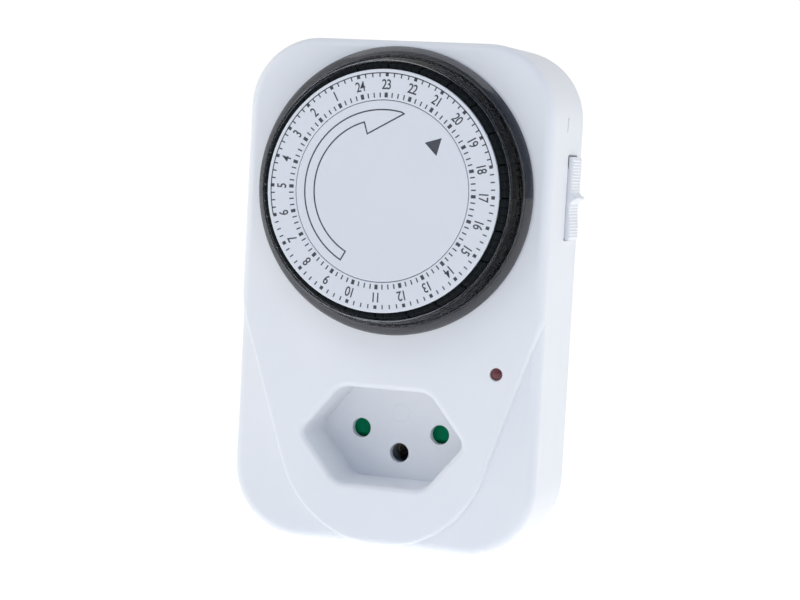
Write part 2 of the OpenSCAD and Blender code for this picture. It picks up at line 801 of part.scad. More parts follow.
// Rides on the tappets' tails at the trigger angle and presses the blade
module follower_lever() color("ivory") placed() {
    arm_x = [27, 30.5];
    reach_y = [95.4, 98];
    difference() {
        union() {
            cross_rod(lever_y, lever_d, 1.5, [22, 31]);
            bar([arm_x[0], lever_y, lever_plate_d[0]], [arm_x[1], reach_y[1], lever_plate_d[1]]);
            bar([19, reach_y[0], lever_plate_d[0]], [arm_x[1], reach_y[1], lever_plate_d[1]]);
            bar([19, reach_y[0], lever_plate_d[0]], [21.2, 101.2, lever_plate_d[1]]);
            bar([arm_x[0], 87.2, 8.8], [blade_x[1], 88.8, 10]);
            bar([28.8, 80.6, 6.5], [arm_x[1], 81.4, 7.6]);
            on_dial() rotate(trigger_angle) bar([27.4, -0.25, 3], [28.6, 0.25, 8]);
        }
        cross_rod(lever_y, lever_d, 0.85, [21, 32]);
    }
}

// Outline of the thumb piece: two ribbed hollows with a pointed fin between them
function thumb_outline() =
    let (low = thumb_y[0], high = thumb_y[1], fin_y = window_y, ribs = 15,
         end_x = body_w / 2 + thumb_proud, fin_x = body_w / 2 + fin_proud)
    concat(
        [[slider_x - 0.2, low], [end_x, low]],
        [for (i = [1:ribs - 1])
            let (y = low + (high - low) * i / ribs,
                 from_fin = abs(y - fin_y) / 7,
                 hollow = 0.35 * sin(180 * min(from_fin, 1)))
            [from_fin < 0.05 ? fin_x : end_x - hollow + (i % 2 == 0 ? 0 : 0.2), y]],
        [[end_x, high], [slider_x - 0.2, high]]
    );

module override_slider() color("white") placed() {
    base_t = 1.4;
    x = [slider_x - base_t, slider_x];
    wedge_x = [29.2, x[0] + 0.1];
    bar([x[0], 68, 13.6], [x[1], 91, inner_d - 0.4]);
    slab([window_d[0] + 0.3, window_d[1] - 0.3]) polygon(thumb_outline());
    bar([x[0], 77, 5], [x[1] - 0.1, 84, 13.7]);
    translate([wedge_x[0], 0, 0]) rotate([90, 0, 90]) linear_extrude(wedge_x[1] - wedge_x[0])
        polygon([[78.2, 4.6], [83, 4.6], [83, 5.4], [78.2, 7.32]]);
}

front_housing();
socket_insert();
rear_cover();
housing_screws();
line_pin();
neutral_pin();
earth_pin();
pin_sleeves();
line_strip();
switched_strip();
neutral_earth_strips();
contact_carrier();
shutter();
shutter_spring();
lamp_lens();
neon_bulb();
dial_carrier();
scale_ring();
centre_disc();
dial_skirt();
movement_plate();
movement_cover();
movement_screws();
motor_can();
motor_coil();
rotor();
first_gear();
second_gear();
clutch_wheel();
clutch_spring();
drive_pinion();
gear_posts();
switch_block();
contact_blade();
follower_lever();
override_slider();
for (hour = [1:hours]) tappets(hour);
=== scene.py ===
"""A plug-in timer switch: the finished look of its moulded case, dial, socket, plug and switch.

Sizes are millimetres in the drawing frame of the front view: x to the right, y up from the
underside, and depth back from the front face. `stand` turns a drawn point into the part's own
frame, in metres. Sizes that the solids already hold are read from the frame with `span`.
"""

import json
import logging
import math
from collections.abc import Callable, Iterable, Sequence
from dataclasses import dataclass, field
from enum import Enum
from typing import NamedTuple, Protocol

import bmesh
import bpy
from mathutils import Matrix, Vector
from mathutils.geometry import delaunay_2d_cdt


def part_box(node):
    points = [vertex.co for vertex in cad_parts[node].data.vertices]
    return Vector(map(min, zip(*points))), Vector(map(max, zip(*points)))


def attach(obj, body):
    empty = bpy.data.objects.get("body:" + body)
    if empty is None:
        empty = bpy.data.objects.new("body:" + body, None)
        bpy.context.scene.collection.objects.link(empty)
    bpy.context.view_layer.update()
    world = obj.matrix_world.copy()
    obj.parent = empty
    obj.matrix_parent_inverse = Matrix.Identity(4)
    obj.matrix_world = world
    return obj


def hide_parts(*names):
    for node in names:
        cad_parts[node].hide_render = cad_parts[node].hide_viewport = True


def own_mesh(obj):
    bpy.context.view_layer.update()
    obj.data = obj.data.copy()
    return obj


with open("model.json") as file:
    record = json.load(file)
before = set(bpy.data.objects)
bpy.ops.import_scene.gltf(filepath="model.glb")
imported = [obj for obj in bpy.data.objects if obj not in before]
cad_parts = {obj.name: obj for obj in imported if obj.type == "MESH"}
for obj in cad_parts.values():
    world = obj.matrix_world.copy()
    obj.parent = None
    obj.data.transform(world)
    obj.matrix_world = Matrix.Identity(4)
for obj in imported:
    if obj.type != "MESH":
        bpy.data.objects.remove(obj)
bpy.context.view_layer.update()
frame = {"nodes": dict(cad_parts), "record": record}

logging.basicConfig(level=logging.INFO, format="%(name)s: %(message)s")
log = logging.getLogger("timer")

# Metres in a millimetre
MM = 0.001
# Corners nearer than this, in metres, are sewn together
MERGE = 2e-6
# Points nearer than this, in millimetres, are one in a flat pattern
SAME = 1e-4
# Surfaces meet sharply beyond this turn, in a swept section and in a mesh made by hand
CREASE, CRISP = math.radians(35), math.radians(32)
# Turned work closes at its axis with a circle of this radius
AXIS_R = 0.02
# A wave texture of scale 1 has this many rings in 2 pi units
WAVE_RINGS = 20
# Where the front face stands in the part's own frame
FRONT_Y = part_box("front_housing")[0].y

Colour = tuple[float, float, float]
Drawn = tuple[float, float, float]
Flat = tuple[float, float]


# ---- The drawing frame ----


def stand(point: Sequence[float]) -> Vector:
    """Turns a drawn point, in millimetres, into the part's frame, in metres."""
    return Vector((point[0] * MM, FRONT_Y + point[2] * MM, point[1] * MM))


def lean_of(drawn: Sequence[float]) -> Vector:
    """Turns a drawn direction into the part's frame."""
    return Vector((drawn[0], drawn[2], drawn[1]))


class Span(NamedTuple):
    """A node's lowest and highest corners in the drawing frame."""

    low: Drawn
    high: Drawn

    def middle(self) -> Drawn:
        """The point half-way between the two corners."""
        return tuple((a + b) / 2 for a, b in zip(self.low, self.high))


def span(node: str) -> Span:
    """Reads where a node lies at rest.

    Args:
        node: the node's name.

    Returns:
        Its extent in the drawing frame.
    """
    corners = [(c.x / MM, c.z / MM, (c.y - FRONT_Y) / MM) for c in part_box(node)]
    return Span(*corners)


def polar(r: float, degrees: float, centre: Flat = (0.0, 0.0)) -> Flat:
    """The point at a radius and an angle, counter-clockwise from the right, about a centre."""
    angle = math.radians(degrees)
    return centre[0] + r * math.cos(angle), centre[1] + r * math.sin(angle)


def quarter_turn(r: float, steps: int) -> list[Flat]:
    """A quarter circle that starts along the first axis and ends along the second.

    Args:
        r: its radius.
        steps: how many straight pieces it is cut into.

    Returns:
        Points from (0, r) to (r, 0), measured from the corner that the circle rounds.
    """
    turns = [math.pi / 2 * k / steps for k in range(steps + 1)]
    return [(r * (1 - math.cos(t)), r * (1 - math.sin(t))) for t in turns]


# ---- Outlines ----


class Rim(NamedTuple):
    """A point on an outline and the direction straight out of it."""

    u: float
    v: float
    out_u: float
    out_v: float


class Contour(Protocol):
    """A closed outline that can be grown or shrunk."""

    def loop(self, margin: float = 0.0) -> list[Rim]:
        """The outline's points at a margin outside it."""


@dataclass(frozen=True)
class Arcs:
    """An outline of straight sides between corner arcs, each (x, y, radius), counter-clockwise."""

    arcs: tuple[Drawn, ...]
    steps: int = 12

    def loop(self, margin: float = 0.0) -> list[Rim]:
        """The outline's points at a margin outside it."""
        points, count = [], len(self.arcs)
        for i, (x, y, r) in enumerate(self.arcs):
            start = self._side(self.arcs[i - 1], self.arcs[i])
            turn = (self._side(self.arcs[i], self.arcs[(i + 1) % count]) - start) % (2 * math.pi)
            for k in range(self.steps + 1):
                angle = start + turn * k / self.steps
                out = math.cos(angle), math.sin(angle)
                points.append(Rim(x + (r + margin) * out[0], y + (r + margin) * out[1], *out))
        return points

    @staticmethod
    def _side(a: Drawn, b: Drawn) -> float:
        """Direction square to the side between two arcs, in radians."""
        apart = math.hypot(b[0] - a[0], b[1] - a[1])
        return math.atan2(b[1] - a[1], b[0] - a[0]) - math.pi / 2 + math.asin((a[2] - b[2]) / apart)


@dataclass(frozen=True)
class Ring:
    """A circle; with a radius of 0 its margin is its radius, as for turned work."""

    centre: Flat
    radius: float = 0.0
    steps: int = 48

    def loop(self, margin: float = 0.0) -> list[Rim]:
        """The circle's points at a margin outside it."""
        r = self.radius + margin
        turns = [2 * math.pi * k / self.steps for k in range(self.steps)]
        return [
            Rim(self.centre[0] + r * math.cos(t), self.centre[1] + r * math.sin(t),
                math.cos(t), math.sin(t))
            for t in turns
        ]


def rounded_box(low: Flat, high: Flat, r: float, steps: int = 6) -> Arcs:
    """A rectangle with equal round corners."""
    return Arcs(
        ((low[0] + r, low[1] + r, r), (high[0] - r, low[1] + r, r),
         (high[0] - r, high[1] - r, r), (low[0] + r, high[1] - r, r)),
        steps,
    )


def within(u: float, v: float, loops: Sequence[Sequence[Sequence[float]]]) -> bool:
    """Says whether a point is inside an odd number of loops, and so outside their holes."""
    inside = False
    for loop in loops:
        for a, b in zip(loop, [*loop[1:], loop[0]]):
            if (a[1] > v) != (b[1] > v) and u < a[0] + (v - a[1]) * (b[0] - a[0]) / (b[1] - a[1]):
                inside = not inside
    return inside


def flat_pattern(
    loops: Sequence[Sequence[Sequence[float]]],
    bounds: Sequence[Sequence[Sequence[float]]],
    lines: Sequence[Sequence[Sequence[float]]] = (),
) -> list[list[Flat]]:
    """Cuts a flat area into triangles.

    Args:
        loops: closed lines that the triangles' edges follow.
        bounds: the loops that bound the area and its holes.
        lines: open lines that the edges follow as well.

    Returns:
        The triangles inside the bounds, three points each.
    """
    points, edges = [], []
    for line, closed in [(x, True) for x in loops] + [(x, False) for x in lines]:
        first, count = len(points), len(line)
        points += [Vector((p[0], p[1])) for p in line]
        edges += [(first + k, first + (k + 1) % count) for k in range(count if closed else count - 1)]
    corners, _, faces, *_ = delaunay_2d_cdt(points, edges, [], 0, SAME)
    found = []
    for face in faces:
        triangle = [(corners[i].x, corners[i].y) for i in face]
        if within(sum(p[0] for p in triangle) / 3, sum(p[1] for p in triangle) / 3, bounds):
            found.append(triangle)
    return found


# ---- Skins ----


class Facing(Enum):
    """The plane that an outline is drawn in, seen from outside the case."""

    FRONT = "front"
    RIGHT = "right"

    def point(self, u: float, v: float, w: float, wall: float) -> Drawn:
        """Places a point of that plane, w inwards from a wall at x = wall on the right."""
        return (u, v, w) if self is Facing.FRONT else (wall - w, u, v)

    def lean(self, u: float, v: float, w: float) -> Vector:
        """Turns a direction in that plane into the part's frame."""
        return lean_of((u, v, w) if self is Facing.FRONT else (-w, u, v))


def section_leans(section: Sequence[Flat]) -> list[tuple[Flat, Flat]]:
    """Finds how a section's surface leans at both ends of each of its pieces.

    Args:
        section: its points, as (margin, depth).

    Returns:
        The two directions of each piece, shared with the next piece unless there is a crease.
    """
    own = []
    for a, b in zip(section, section[1:]):
        size = math.hypot(b[0] - a[0], b[1] - a[1])
        own.append(((b[1] - a[1]) / size, (a[0] - b[0]) / size))

    def shared(k: int, other: int) -> Flat:
        """The direction between two pieces, or the first one's own where they crease."""
        if not 0 <= other < len(own):
            return own[k]
        a, b = own[k], own[other]
        if math.acos(max(-1.0, min(1.0, a[0] * b[0] + a[1] * b[1]))) > CREASE:
            return a
        return a[0] + b[0], a[1] + b[1]

    return [(shared(k, k - 1), shared(k, k + 1)) for k in range(len(own))]


class Skin:
    """A closed surface gathered face by face, with its true lean kept at every corner."""

    def __init__(self, wall: float = 0.0) -> None:
        """Starts an empty skin; wall is where the right-hand wall's outside lies."""
        self.wall = wall
        self.faces: list[tuple[list[Drawn], list[Vector]]] = []

    def face(self, corners: Sequence[Drawn], leans: Sequence[Vector]) -> None:
        """Adds one face."""
        self.faces.append((list(corners), list(leans)))

    def sweep(self, contour: Contour, section: Sequence[Flat], facing: Facing = Facing.FRONT,
              keep: Callable[[Rim, Rim], bool] = lambda a, b: True) -> None:
        """Carries a section round an outline.

        Args:
            contour: the outline.
            section: points (margin, depth) from one edge of the surface to the other.
            facing: the plane of the outline.
            keep: says of each piece of the outline whether it gets a surface.
        """
        loops = [contour.loop(margin) for margin, _ in section]
        leans = section_leans(section)
        for k, (start, end) in enumerate(leans):
            near, far = loops[k], loops[k + 1]
            w0, w1 = section[k][1], section[k + 1][1]
            for i, j in zip(range(len(near)), [*range(1, len(near)), 0]):
                if not keep(near[i], near[j]):
                    continue
                rims = [(near[i], w0, start), (near[j], w0, start), (far[j], w1, end), (far[i], w1, end)]
                self.face(
                    [facing.point(p.u, p.v, w, self.wall) for p, w, _ in rims],
                    [facing.lean(p.out_u * n[0], p.out_v * n[0], n[1]) for p, _, n in rims],
                )

    def fill(self, depth: float, *loops: Sequence[Sequence[float]],
             facing: Facing = Facing.FRONT) -> None:
        """Closes a level area at one depth inside a loop and outside the other loops."""
        for triangle in flat_pattern(loops, loops):
            self.face([facing.point(*p, depth, self.wall) for p in triangle], [facing.lean(0, 0, 1)] * 3)

    def lift(self, triangles: Iterable[Sequence[Flat]], height: Callable[[float, float], float]) -> None:
        """Raises a flat pattern to a surface that gives its depth at each place."""
        probe, step = 0.006, 0.002
        for triangle in triangles:
            mid = sum(p[0] for p in triangle) / 3, sum(p[1] for p in triangle) / 3
            leans = []
            for x, y in triangle:
                away = math.hypot(mid[0] - x, mid[1] - y)
                u, v = x + (mid[0] - x) * probe / away, y + (mid[1] - y) * probe / away
                leans.append(lean_of((
                    (height(u + step, v) - height(u - step, v)) / (2 * step),
                    (height(u, v + step) - height(u, v - step)) / (2 * step),
                    -1.0,
                )))
            self.face([(x, y, height(x, y)) for x, y in triangle], leans)

    def piece(self, name: str, *finishes: bpy.types.Material) -> bpy.types.Object:
        """Sews the faces together.

        Args:
            name: the piece's name.
            finishes: its materials; the first covers it.

        Returns:
            The finished object, in place.
        """
        bm = bmesh.new()
        lean = bm.loops.layers.float_vector.new("lean")
        for corners, leans in self.faces:
            face = bm.faces.new([bm.verts.new(stand(c)) for c in corners])
            face.smooth = True
            for loop, direction in zip(face.loops, leans):
                loop[lean] = direction
        bmesh.ops.remove_doubles(bm, verts=bm.verts, dist=MERGE)
        bmesh.ops.recalc_face_normals(bm, faces=bm.faces)
        mesh = bpy.data.meshes.new(name)
        bm.to_mesh(mesh)
        bm.free()
        kept = [Vector(x.vector) for x in mesh.attributes["lean"].data]
        for polygon in mesh.polygons:
            for i in polygon.loop_indices:
                kept[i] = kept[i].normalized() if kept[i].dot(polygon.normal) > 0 else -kept[i].normalized()
        mesh.attributes.remove(mesh.attributes["lean"])
        mesh.normals_split_custom_set(kept)
        return dressed(name, mesh, *finishes)


def dressed(name: str, mesh: bpy.types.Mesh, *finishes: bpy.types.Material) -> bpy.types.Object:
    """Makes an object of a mesh and puts it in the scene with its materials."""
    piece = bpy.data.objects.new(name, mesh)
    bpy.context.scene.collection.objects.link(piece)
    for finish in finishes:
        mesh.materials.append(finish)
    return piece


def softened(bm: bmesh.types.BMesh, edge: float, segments: int = 2, least: float = 25.0) -> None:
    """Rounds every edge of a mesh that is sharper than an angle.

    Args:
        bm: the mesh, in metres.
        edge: the rounding, in millimetres.
        segments: how many facets the rounding has.
        least: the smallest turn, in degrees, that is rounded.
    """
    bmesh.ops.recalc_face_normals(bm, faces=bm.faces)
    sharp = [e for e in bm.edges if e.is_manifold and e.calc_face_angle() > math.radians(least)]
    bmesh.ops.bevel(bm, geom=sharp, offset=edge * MM, offset_type="OFFSET", segments=segments,
                    profile=0.5, affect="EDGES", clamp_overlap=True)


def solid(name: str, bm: bmesh.types.BMesh, *finishes: bpy.types.Material) -> bpy.types.Object:
    """Finishes a mesh made by hand: smooth where it is round and crisp at its creases."""
    bmesh.ops.recalc_face_normals(bm, faces=bm.faces)
    mesh = bpy.data.meshes.new(name)
    bm.to_mesh(mesh)
    bm.free()
    mesh.shade_smooth()
    mesh.set_sharp_from_angle(angle=CRISP)
    return dressed(name, mesh, *finishes)


def prism(bm: bmesh.types.BMesh, outline: Sequence[Drawn], back: Sequence[Drawn]) -> None:
    """Adds a closed block between two outlines of as many points."""
    front_ring = [bm.verts.new(stand(p)) for p in outline]
    back_ring = [bm.verts.new(stand(p)) for p in back]
    bm.faces.new(front_ring)
    bm.faces.new(reversed(back_ring))
    for i in range(len(outline)):
        bm.faces.new((front_ring[i - 1], front_ring[i], back_ring[i], back_ring[i - 1]))


# ---- Finishes ----


class Bench:
    """The nodes of one material, wired one by one.

    A noise mostly gives values between the two of usual. stops are the ends of a tint on that scale.
    """

    usual: Flat = (0.3, 0.7)
    stops: Flat = (0.32, 0.68)

    def __init__(self, name: str) -> None:
        """Starts a material that holds only its shader and output."""
        self.material = bpy.data.materials.new(name)
        self.material.use_nodes = True
        self.tree = self.material.node_tree
        self.tree.nodes.clear()
        self.shader = self.add("ShaderNodeBsdfPrincipled")
        self.output = self.add("ShaderNodeOutputMaterial")
        self.join(self.shader, "BSDF", self.output, "Surface")
        self.place = self.add("ShaderNodeTexCoord")

    def add(self, kind: str, **sockets: object) -> bpy.types.Node:
        """Adds a node and sets its sockets, with _ for a space in their names."""
        return self.put(self.tree.nodes.new(kind), **sockets)

    @staticmethod
    def put(node: bpy.types.Node, **sockets: object) -> bpy.types.Node:
        """Sets a node's sockets, with _ for a space in their names."""
        for name, value in sockets.items():
            node.inputs[name.replace("_", " ")].default_value = value
        return node

    def join(self, source: bpy.types.Node, out: str, target: bpy.types.Node, into: str) -> None:
        """Joins two sockets."""
        self.tree.links.new(source.outputs[out], target.inputs[into])

    def grain(self, size: float, detail: float = 2.0, stretch: Colour = (1, 1, 1)) -> bpy.types.Node:
        """Adds a noise in the part's own coordinates.

        Args:
            size: the grain's size, in millimetres.
            detail: how many finer layers it has.
            stretch: how much each axis is stretched.

        Returns:
            The noise node.
        """
        scale = self.add("ShaderNodeMapping", Scale=tuple(1 / s for s in stretch))
        noise = self.add("ShaderNodeTexNoise", Scale=1 / (size * MM), Detail=detail)
        self.join(self.place, "Object", scale, "Vector")
        self.join(scale, "Vector", noise, "Vector")
        return noise

    def relief(self, noise: bpy.types.Node, depth: float, strength: float) -> bpy.types.Node:
        """Presses a grain into the surface, depth in millimetres."""
        bump = self.add("ShaderNodeBump", Strength=strength, Distance=depth * MM)
        self.join(noise, "Fac", bump, "Height")
        self.join(bump, "Normal", self.shader, "Normal")
        return bump

    def ramp(self, source: bpy.types.Node, out: str, limits: Flat, to: Flat = (0.0, 1.0)) -> bpy.types.Node:
        """Spreads a value between two limits over a range, and holds it level beyond them.

        Args:
            source: the node that gives the value.
            out: its socket.
            limits: where the range starts and ends.
            to: what the result is there.

        Returns:
            The node that gives the result.
        """
        ramp = self.add("ShaderNodeMapRange", From_Min=limits[0], From_Max=limits[1],
                        To_Min=to[0], To_Max=to[1])
        self.join(source, out, ramp, "Value")
        return ramp

    def vary(self, noise: bpy.types.Node, into: str, low: float, high: float) -> None:
        """Lets a grain move one of the shader's numbers between two values."""
        self.join(self.ramp(noise, "Fac", self.usual, (low, high)), "Result", self.shader, into)

    def tint(self, noise: bpy.types.Node, low: Colour, high: Colour) -> None:
        """Lets a grain move the base colour between two colours."""
        ramp = self.add("ShaderNodeValToRGB")
        for stop, position, colour in zip(ramp.color_ramp.elements, self.stops, (low, high)):
            stop.position, stop.color = position, (*colour, 1)
        self.join(noise, "Fac", ramp, "Fac")
        self.join(ramp, "Color", self.shader, "Base Color")


def shade(colour: Colour, by: float) -> Colour:
    """A colour made lighter or darker by a share of itself."""
    return tuple(max(0.0, min(1.0, c * (1 + by))) for c in colour)


@dataclass(frozen=True)
class Moulded:
    """Moulded plastic: a fine sparked grain, and slow drifts of tone and gloss."""

    name: str
    colour: Colour
    roughness: float
    grain: float = 0.35
    grain_depth: float = 0.006
    relief: float = 0.25
    drift: float = 0.02
    drift_size: float = 24.0
    gloss_size: float = 9.0
    gloss: Flat = (-0.04, 0.05)
    specular: float = 0.5
    glow: float = 0.0
    glow_reach: Colour = (0.9, 0.9, 1.0)
    glow_scale: float = 0.8

    def material(self) -> bpy.types.Material:
        """Builds the material."""
        bench = Bench(self.name)
        low, high = (self.roughness + change for change in self.gloss)
        bench.relief(bench.grain(self.grain, detail=3.0), self.grain_depth, self.relief)
        bench.vary(bench.grain(self.gloss_size), "Roughness", low, high)
        bench.tint(bench.grain(self.drift_size, detail=3.0),
                   shade(self.colour, -self.drift), shade(self.colour, self.drift))
        bench.put(bench.shader, Specular_IOR_Level=self.specular)
        if self.glow:
            bench.put(bench.shader, Subsurface_Weight=self.glow, Subsurface_Scale=self.glow_scale,
                      Subsurface_Radius=[reach * MM for reach in self.glow_reach])
        return bench.material


@dataclass(frozen=True)
class Printed:
    """Pad-printed ink: slightly uneven cover and a dull surface."""

    name: str
    colour: Colour
    roughness: float = 0.55
    cover_size: float = 0.6
    cover: Flat = (-0.15, 0.2)
    gloss_size: float = 0.3
    gloss: float = 0.08

    def material(self) -> bpy.types.Material:
        """Builds the material."""
        bench = Bench(self.name)
        bench.tint(bench.grain(self.cover_size, detail=3.0), *(shade(self.colour, by) for by in self.cover))
        bench.vary(bench.grain(self.gloss_size), "Roughness",
                   self.roughness - self.gloss, self.roughness + self.gloss)
        return bench.material


@dataclass(frozen=True)
class Clear:
    """Clear tinted plastic: light goes through it, with faint flow lines in its gloss."""

    name: str
    colour: Colour
    roughness: float
    through: float = 1.0
    ior: float = 1.5
    flow: float = 5.0
    flow_depth: float = 0.01
    relief: float = 0.05
    gloss_size: float = 3.0
    gloss: Flat = (0.7, 1.3)
    drift: float = 0.05
    drift_size: float = 14.0

    def material(self) -> bpy.types.Material:
        """Builds the material."""
        bench = Bench(self.name)
        bench.relief(bench.grain(self.flow, detail=1.0), self.flow_depth, self.relief)
        bench.vary(bench.grain(self.gloss_size), "Roughness", *(self.roughness * by for by in self.gloss))
        bench.tint(bench.grain(self.drift_size),
                   shade(self.colour, -self.drift), shade(self.colour, self.drift))
        bench.put(bench.shader, Transmission_Weight=self.through, IOR=self.ior)
        return bench.material


@dataclass(frozen=True)
class Smoked:
    """Smoked clear plastic: painted highlights of fine turned rings, as lighter lines in its base colour,
    up to one radius, and it is polished beyond it.
    """

    name: str
    colour: Colour
    # colour of the painted highlight lines on the turned rings
    ring_colour: Colour
    roughness: float
    ior: float
    pitch: float
    reach: float
    axis_height: float
    # wave values over which a painted ring highlight rises to full
    glint: Flat = (0.8, 1.0)
    ring_fade: float = 0.3
    polish_fade: float = 0.4
    gloss_size: float = 3.0
    gloss: Flat = (0.7, 1.3)

    def material(self) -> bpy.types.Material:
        """Builds the material."""
        bench = Bench(self.name)
        down = -self.axis_height * MM
        from_axis = bench.add("ShaderNodeMapping", Location=(0.0, 0.0, down), Scale=(1, 0, 1))
        bench.join(bench.place, "Object", from_axis, "Vector")
        radius = bench.add("ShaderNodeVectorMath")
        radius.operation = "LENGTH"
        bench.join(from_axis, "Vector", radius, "Vector")
        self._rings(bench, from_axis, radius)
        polish = bench.ramp(radius, "Value", (self.reach * MM, (self.reach + self.polish_fade) * MM))
        bench.join(polish, "Result", bench.shader, "Coat Weight")
        bench.vary(bench.grain(self.gloss_size), "Roughness", *(self.roughness * by for by in self.gloss))
        bench.put(bench.shader, Transmission_Weight=1.0, IOR=self.ior)
        return bench.material

    def _rings(self, bench: Bench, from_axis: bpy.types.Node, radius: bpy.types.Node) -> None:
        """Paints the turned rings' highlights into the base colour as fine lighter lines.

        Args:
            bench: the material's nodes.
            from_axis: the node that gives the place, measured from the dial's axis.
            radius: the node that gives its distance from that axis.
        """
        scale = 2 * math.pi / (WAVE_RINGS * self.pitch * MM)
        wave = bench.add("ShaderNodeTexWave", Scale=scale, Distortion=0.0, Detail=0.0)
        wave.wave_type, wave.rings_direction = "RINGS", "Y"
        bench.join(from_axis, "Vector", wave, "Vector")
        glint = bench.ramp(wave, "Fac", self.glint)
        inner = bench.ramp(radius, "Value", (self.reach * MM, (self.reach - self.ring_fade) * MM))
        share = bench.add("ShaderNodeMath")
        share.operation = "MULTIPLY"
        for socket, source in zip(share.inputs, (glint, inner)):
            bench.tree.links.new(source.outputs["Result"], socket)
        # mixes the painted ring highlights into the base colour
        blend = bench.add("ShaderNodeMixRGB", Color1=(*self.colour, 1), Color2=(*self.ring_colour, 1))
        bench.join(share, "Value", blend, "Fac")
        bench.join(blend, "Color", bench.shader, "Base Color")


@dataclass(frozen=True)
class Metal:
    """Bare metal with drawn or turned scratches along one axis and a little tarnish."""

    name: str
    colour: Colour
    roughness: float
    stretch: Colour = (1.0, 1.0, 1.0)
    scratch: float = 0.22
    scratch_depth: float = 0.004
    relief: float = 0.3
    gloss_size: float = 2.5
    gloss: Flat = (-0.05, 0.1)
    tarnish: float = 0.12
    tarnish_size: float = 4.0

    def material(self) -> bpy.types.Material:
        """Builds the material."""
        bench = Bench(self.name)
        low, high = (self.roughness + change for change in self.gloss)
        grain = bench.grain(self.scratch, detail=3.0, stretch=self.stretch)
        bench.relief(grain, self.scratch_depth, self.relief)
        bench.vary(bench.grain(self.gloss_size, detail=3.0), "Roughness", low, high)
        bench.tint(bench.grain(self.tarnish_size, detail=4.0),
                   shade(self.colour, -self.tarnish), self.colour)
        bench.put(bench.shader, Metallic=1.0)
        return bench.material


class Finish(Enum):
    """Every finish of the timer, by the maker's name for it."""

    CASE_WHITE = Moulded("case_white_abs", (0.875, 0.888, 0.915), 0.38, relief=0.12, drift=0.012, glow=0.06)
    DIAL_WHITE = Moulded("dial_white_abs", (0.755, 0.78, 0.825), 0.5, grain=0.2, relief=0.12, drift=0.01)
    TAPPET_BLACK = Moulded("tappet_black_acetal", (0.009, 0.0115, 0.013), 0.5, relief=0.02, specular=0.05)
    SHUTTER_GREEN = Moulded("shutter_green_abs", (0.0, 0.21, 0.09), 0.3, relief=0.1, specular=0.03)
    SLEEVE_GREY = Moulded("pin_sleeve_grey_nylon", (0.16, 0.165, 0.17), 0.45)
    INNER_GREY = Moulded("frame_grey_nylon", (0.36, 0.37, 0.38), 0.55)
    GEAR_IVORY = Moulded("gear_ivory_acetal", (0.68, 0.64, 0.52), 0.4, glow=0.05)
    MAGNET_DARK = Moulded("magnet_dark_ferrite", (0.05, 0.05, 0.055), 0.6, relief=0.5)
    # the third colour is the painted highlight of the turned rings
    SMOKED_CLEAR = Smoked("smoked_clear_polycarbonate", (0.29, 0.29, 0.305), (0.8, 0.88, 0.85),
                          roughness=0.06, ior=1.14, pitch=0.75, reach=30.1, axis_height=80.3)
    LAMP_RED = Clear("lamp_red_acrylic", (0.42, 0.10, 0.12), 0.2, through=0.7)
    BULB_GLASS = Clear("bulb_glass_pink", (0.85, 0.58, 0.52), 0.05, through=0.8)
    PIN_BRASS = Metal("pin_nickel_brass", (0.74, 0.69, 0.58), 0.24, stretch=(1.0, 12.0, 1.0))
    SPRING_STEEL = Metal("spring_drawn_steel", (0.58, 0.58, 0.6), 0.3, stretch=(6.0, 1.0, 1.0))
    SCREW_STEEL = Metal("screw_zinc_steel", (0.62, 0.63, 0.66), 0.28)
    COIL_COPPER = Metal("coil_copper_enamel", (0.62, 0.27, 0.11), 0.3, stretch=(1.0, 1.0, 8.0))
    INK_DARK = Printed("scale_dark_ink", (0.055, 0.057, 0.068))
    INK_GREY = Printed("arrow_grey_ink", (0.06, 0.064, 0.078))
    # the on mark's grey is painted shade of a moulded stroke, not ink
    MARK_GREY = Printed("mark_painted_shade_grey", (0.58, 0.6, 0.63))

    def material(self) -> bpy.types.Material:
        """The finish's material, built the first time it is asked for."""
        return bpy.data.materials.get(self.value.name) or self.value.material()


# The record's material slots and the finish that each one stands for
SLOT_FINISH: dict[str, Finish] = {
    "white_housing": Finish.CASE_WHITE,
    "dial_white": Finish.DIAL_WHITE,
    "smoked_clear": Finish.SMOKED_CLEAR,
    "tappet_black": Finish.TAPPET_BLACK,
    "shutter_green": Finish.SHUTTER_GREEN,
    "lamp_red": Finish.LAMP_RED,
    "bulb_glass": Finish.BULB_GLASS,
    "contact_brass": Finish.PIN_BRASS,
    "sleeve_grey": Finish.SLEEVE_GREY,
    "inner_grey": Finish.INNER_GREY,
    "gear_ivory": Finish.GEAR_IVORY,
    "spring_steel": Finish.SPRING_STEEL,
    "screw_steel": Finish.SCREW_STEEL,
    "coil_copper": Finish.COIL_COPPER,
    "magnet_dark": Finish.MAGNET_DARK,
}


def fit(piece: bpy.types.Object, body: str, slot: str, *nodes: str) -> bpy.types.Object:
    """Fixes a piece to its body and lets it stand for its nodes."""
    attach(piece, body)
    if nodes:
        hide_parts(*nodes)
    log.info("%s rides on %s", piece.name, body)
    return piece


# ---- The case ----


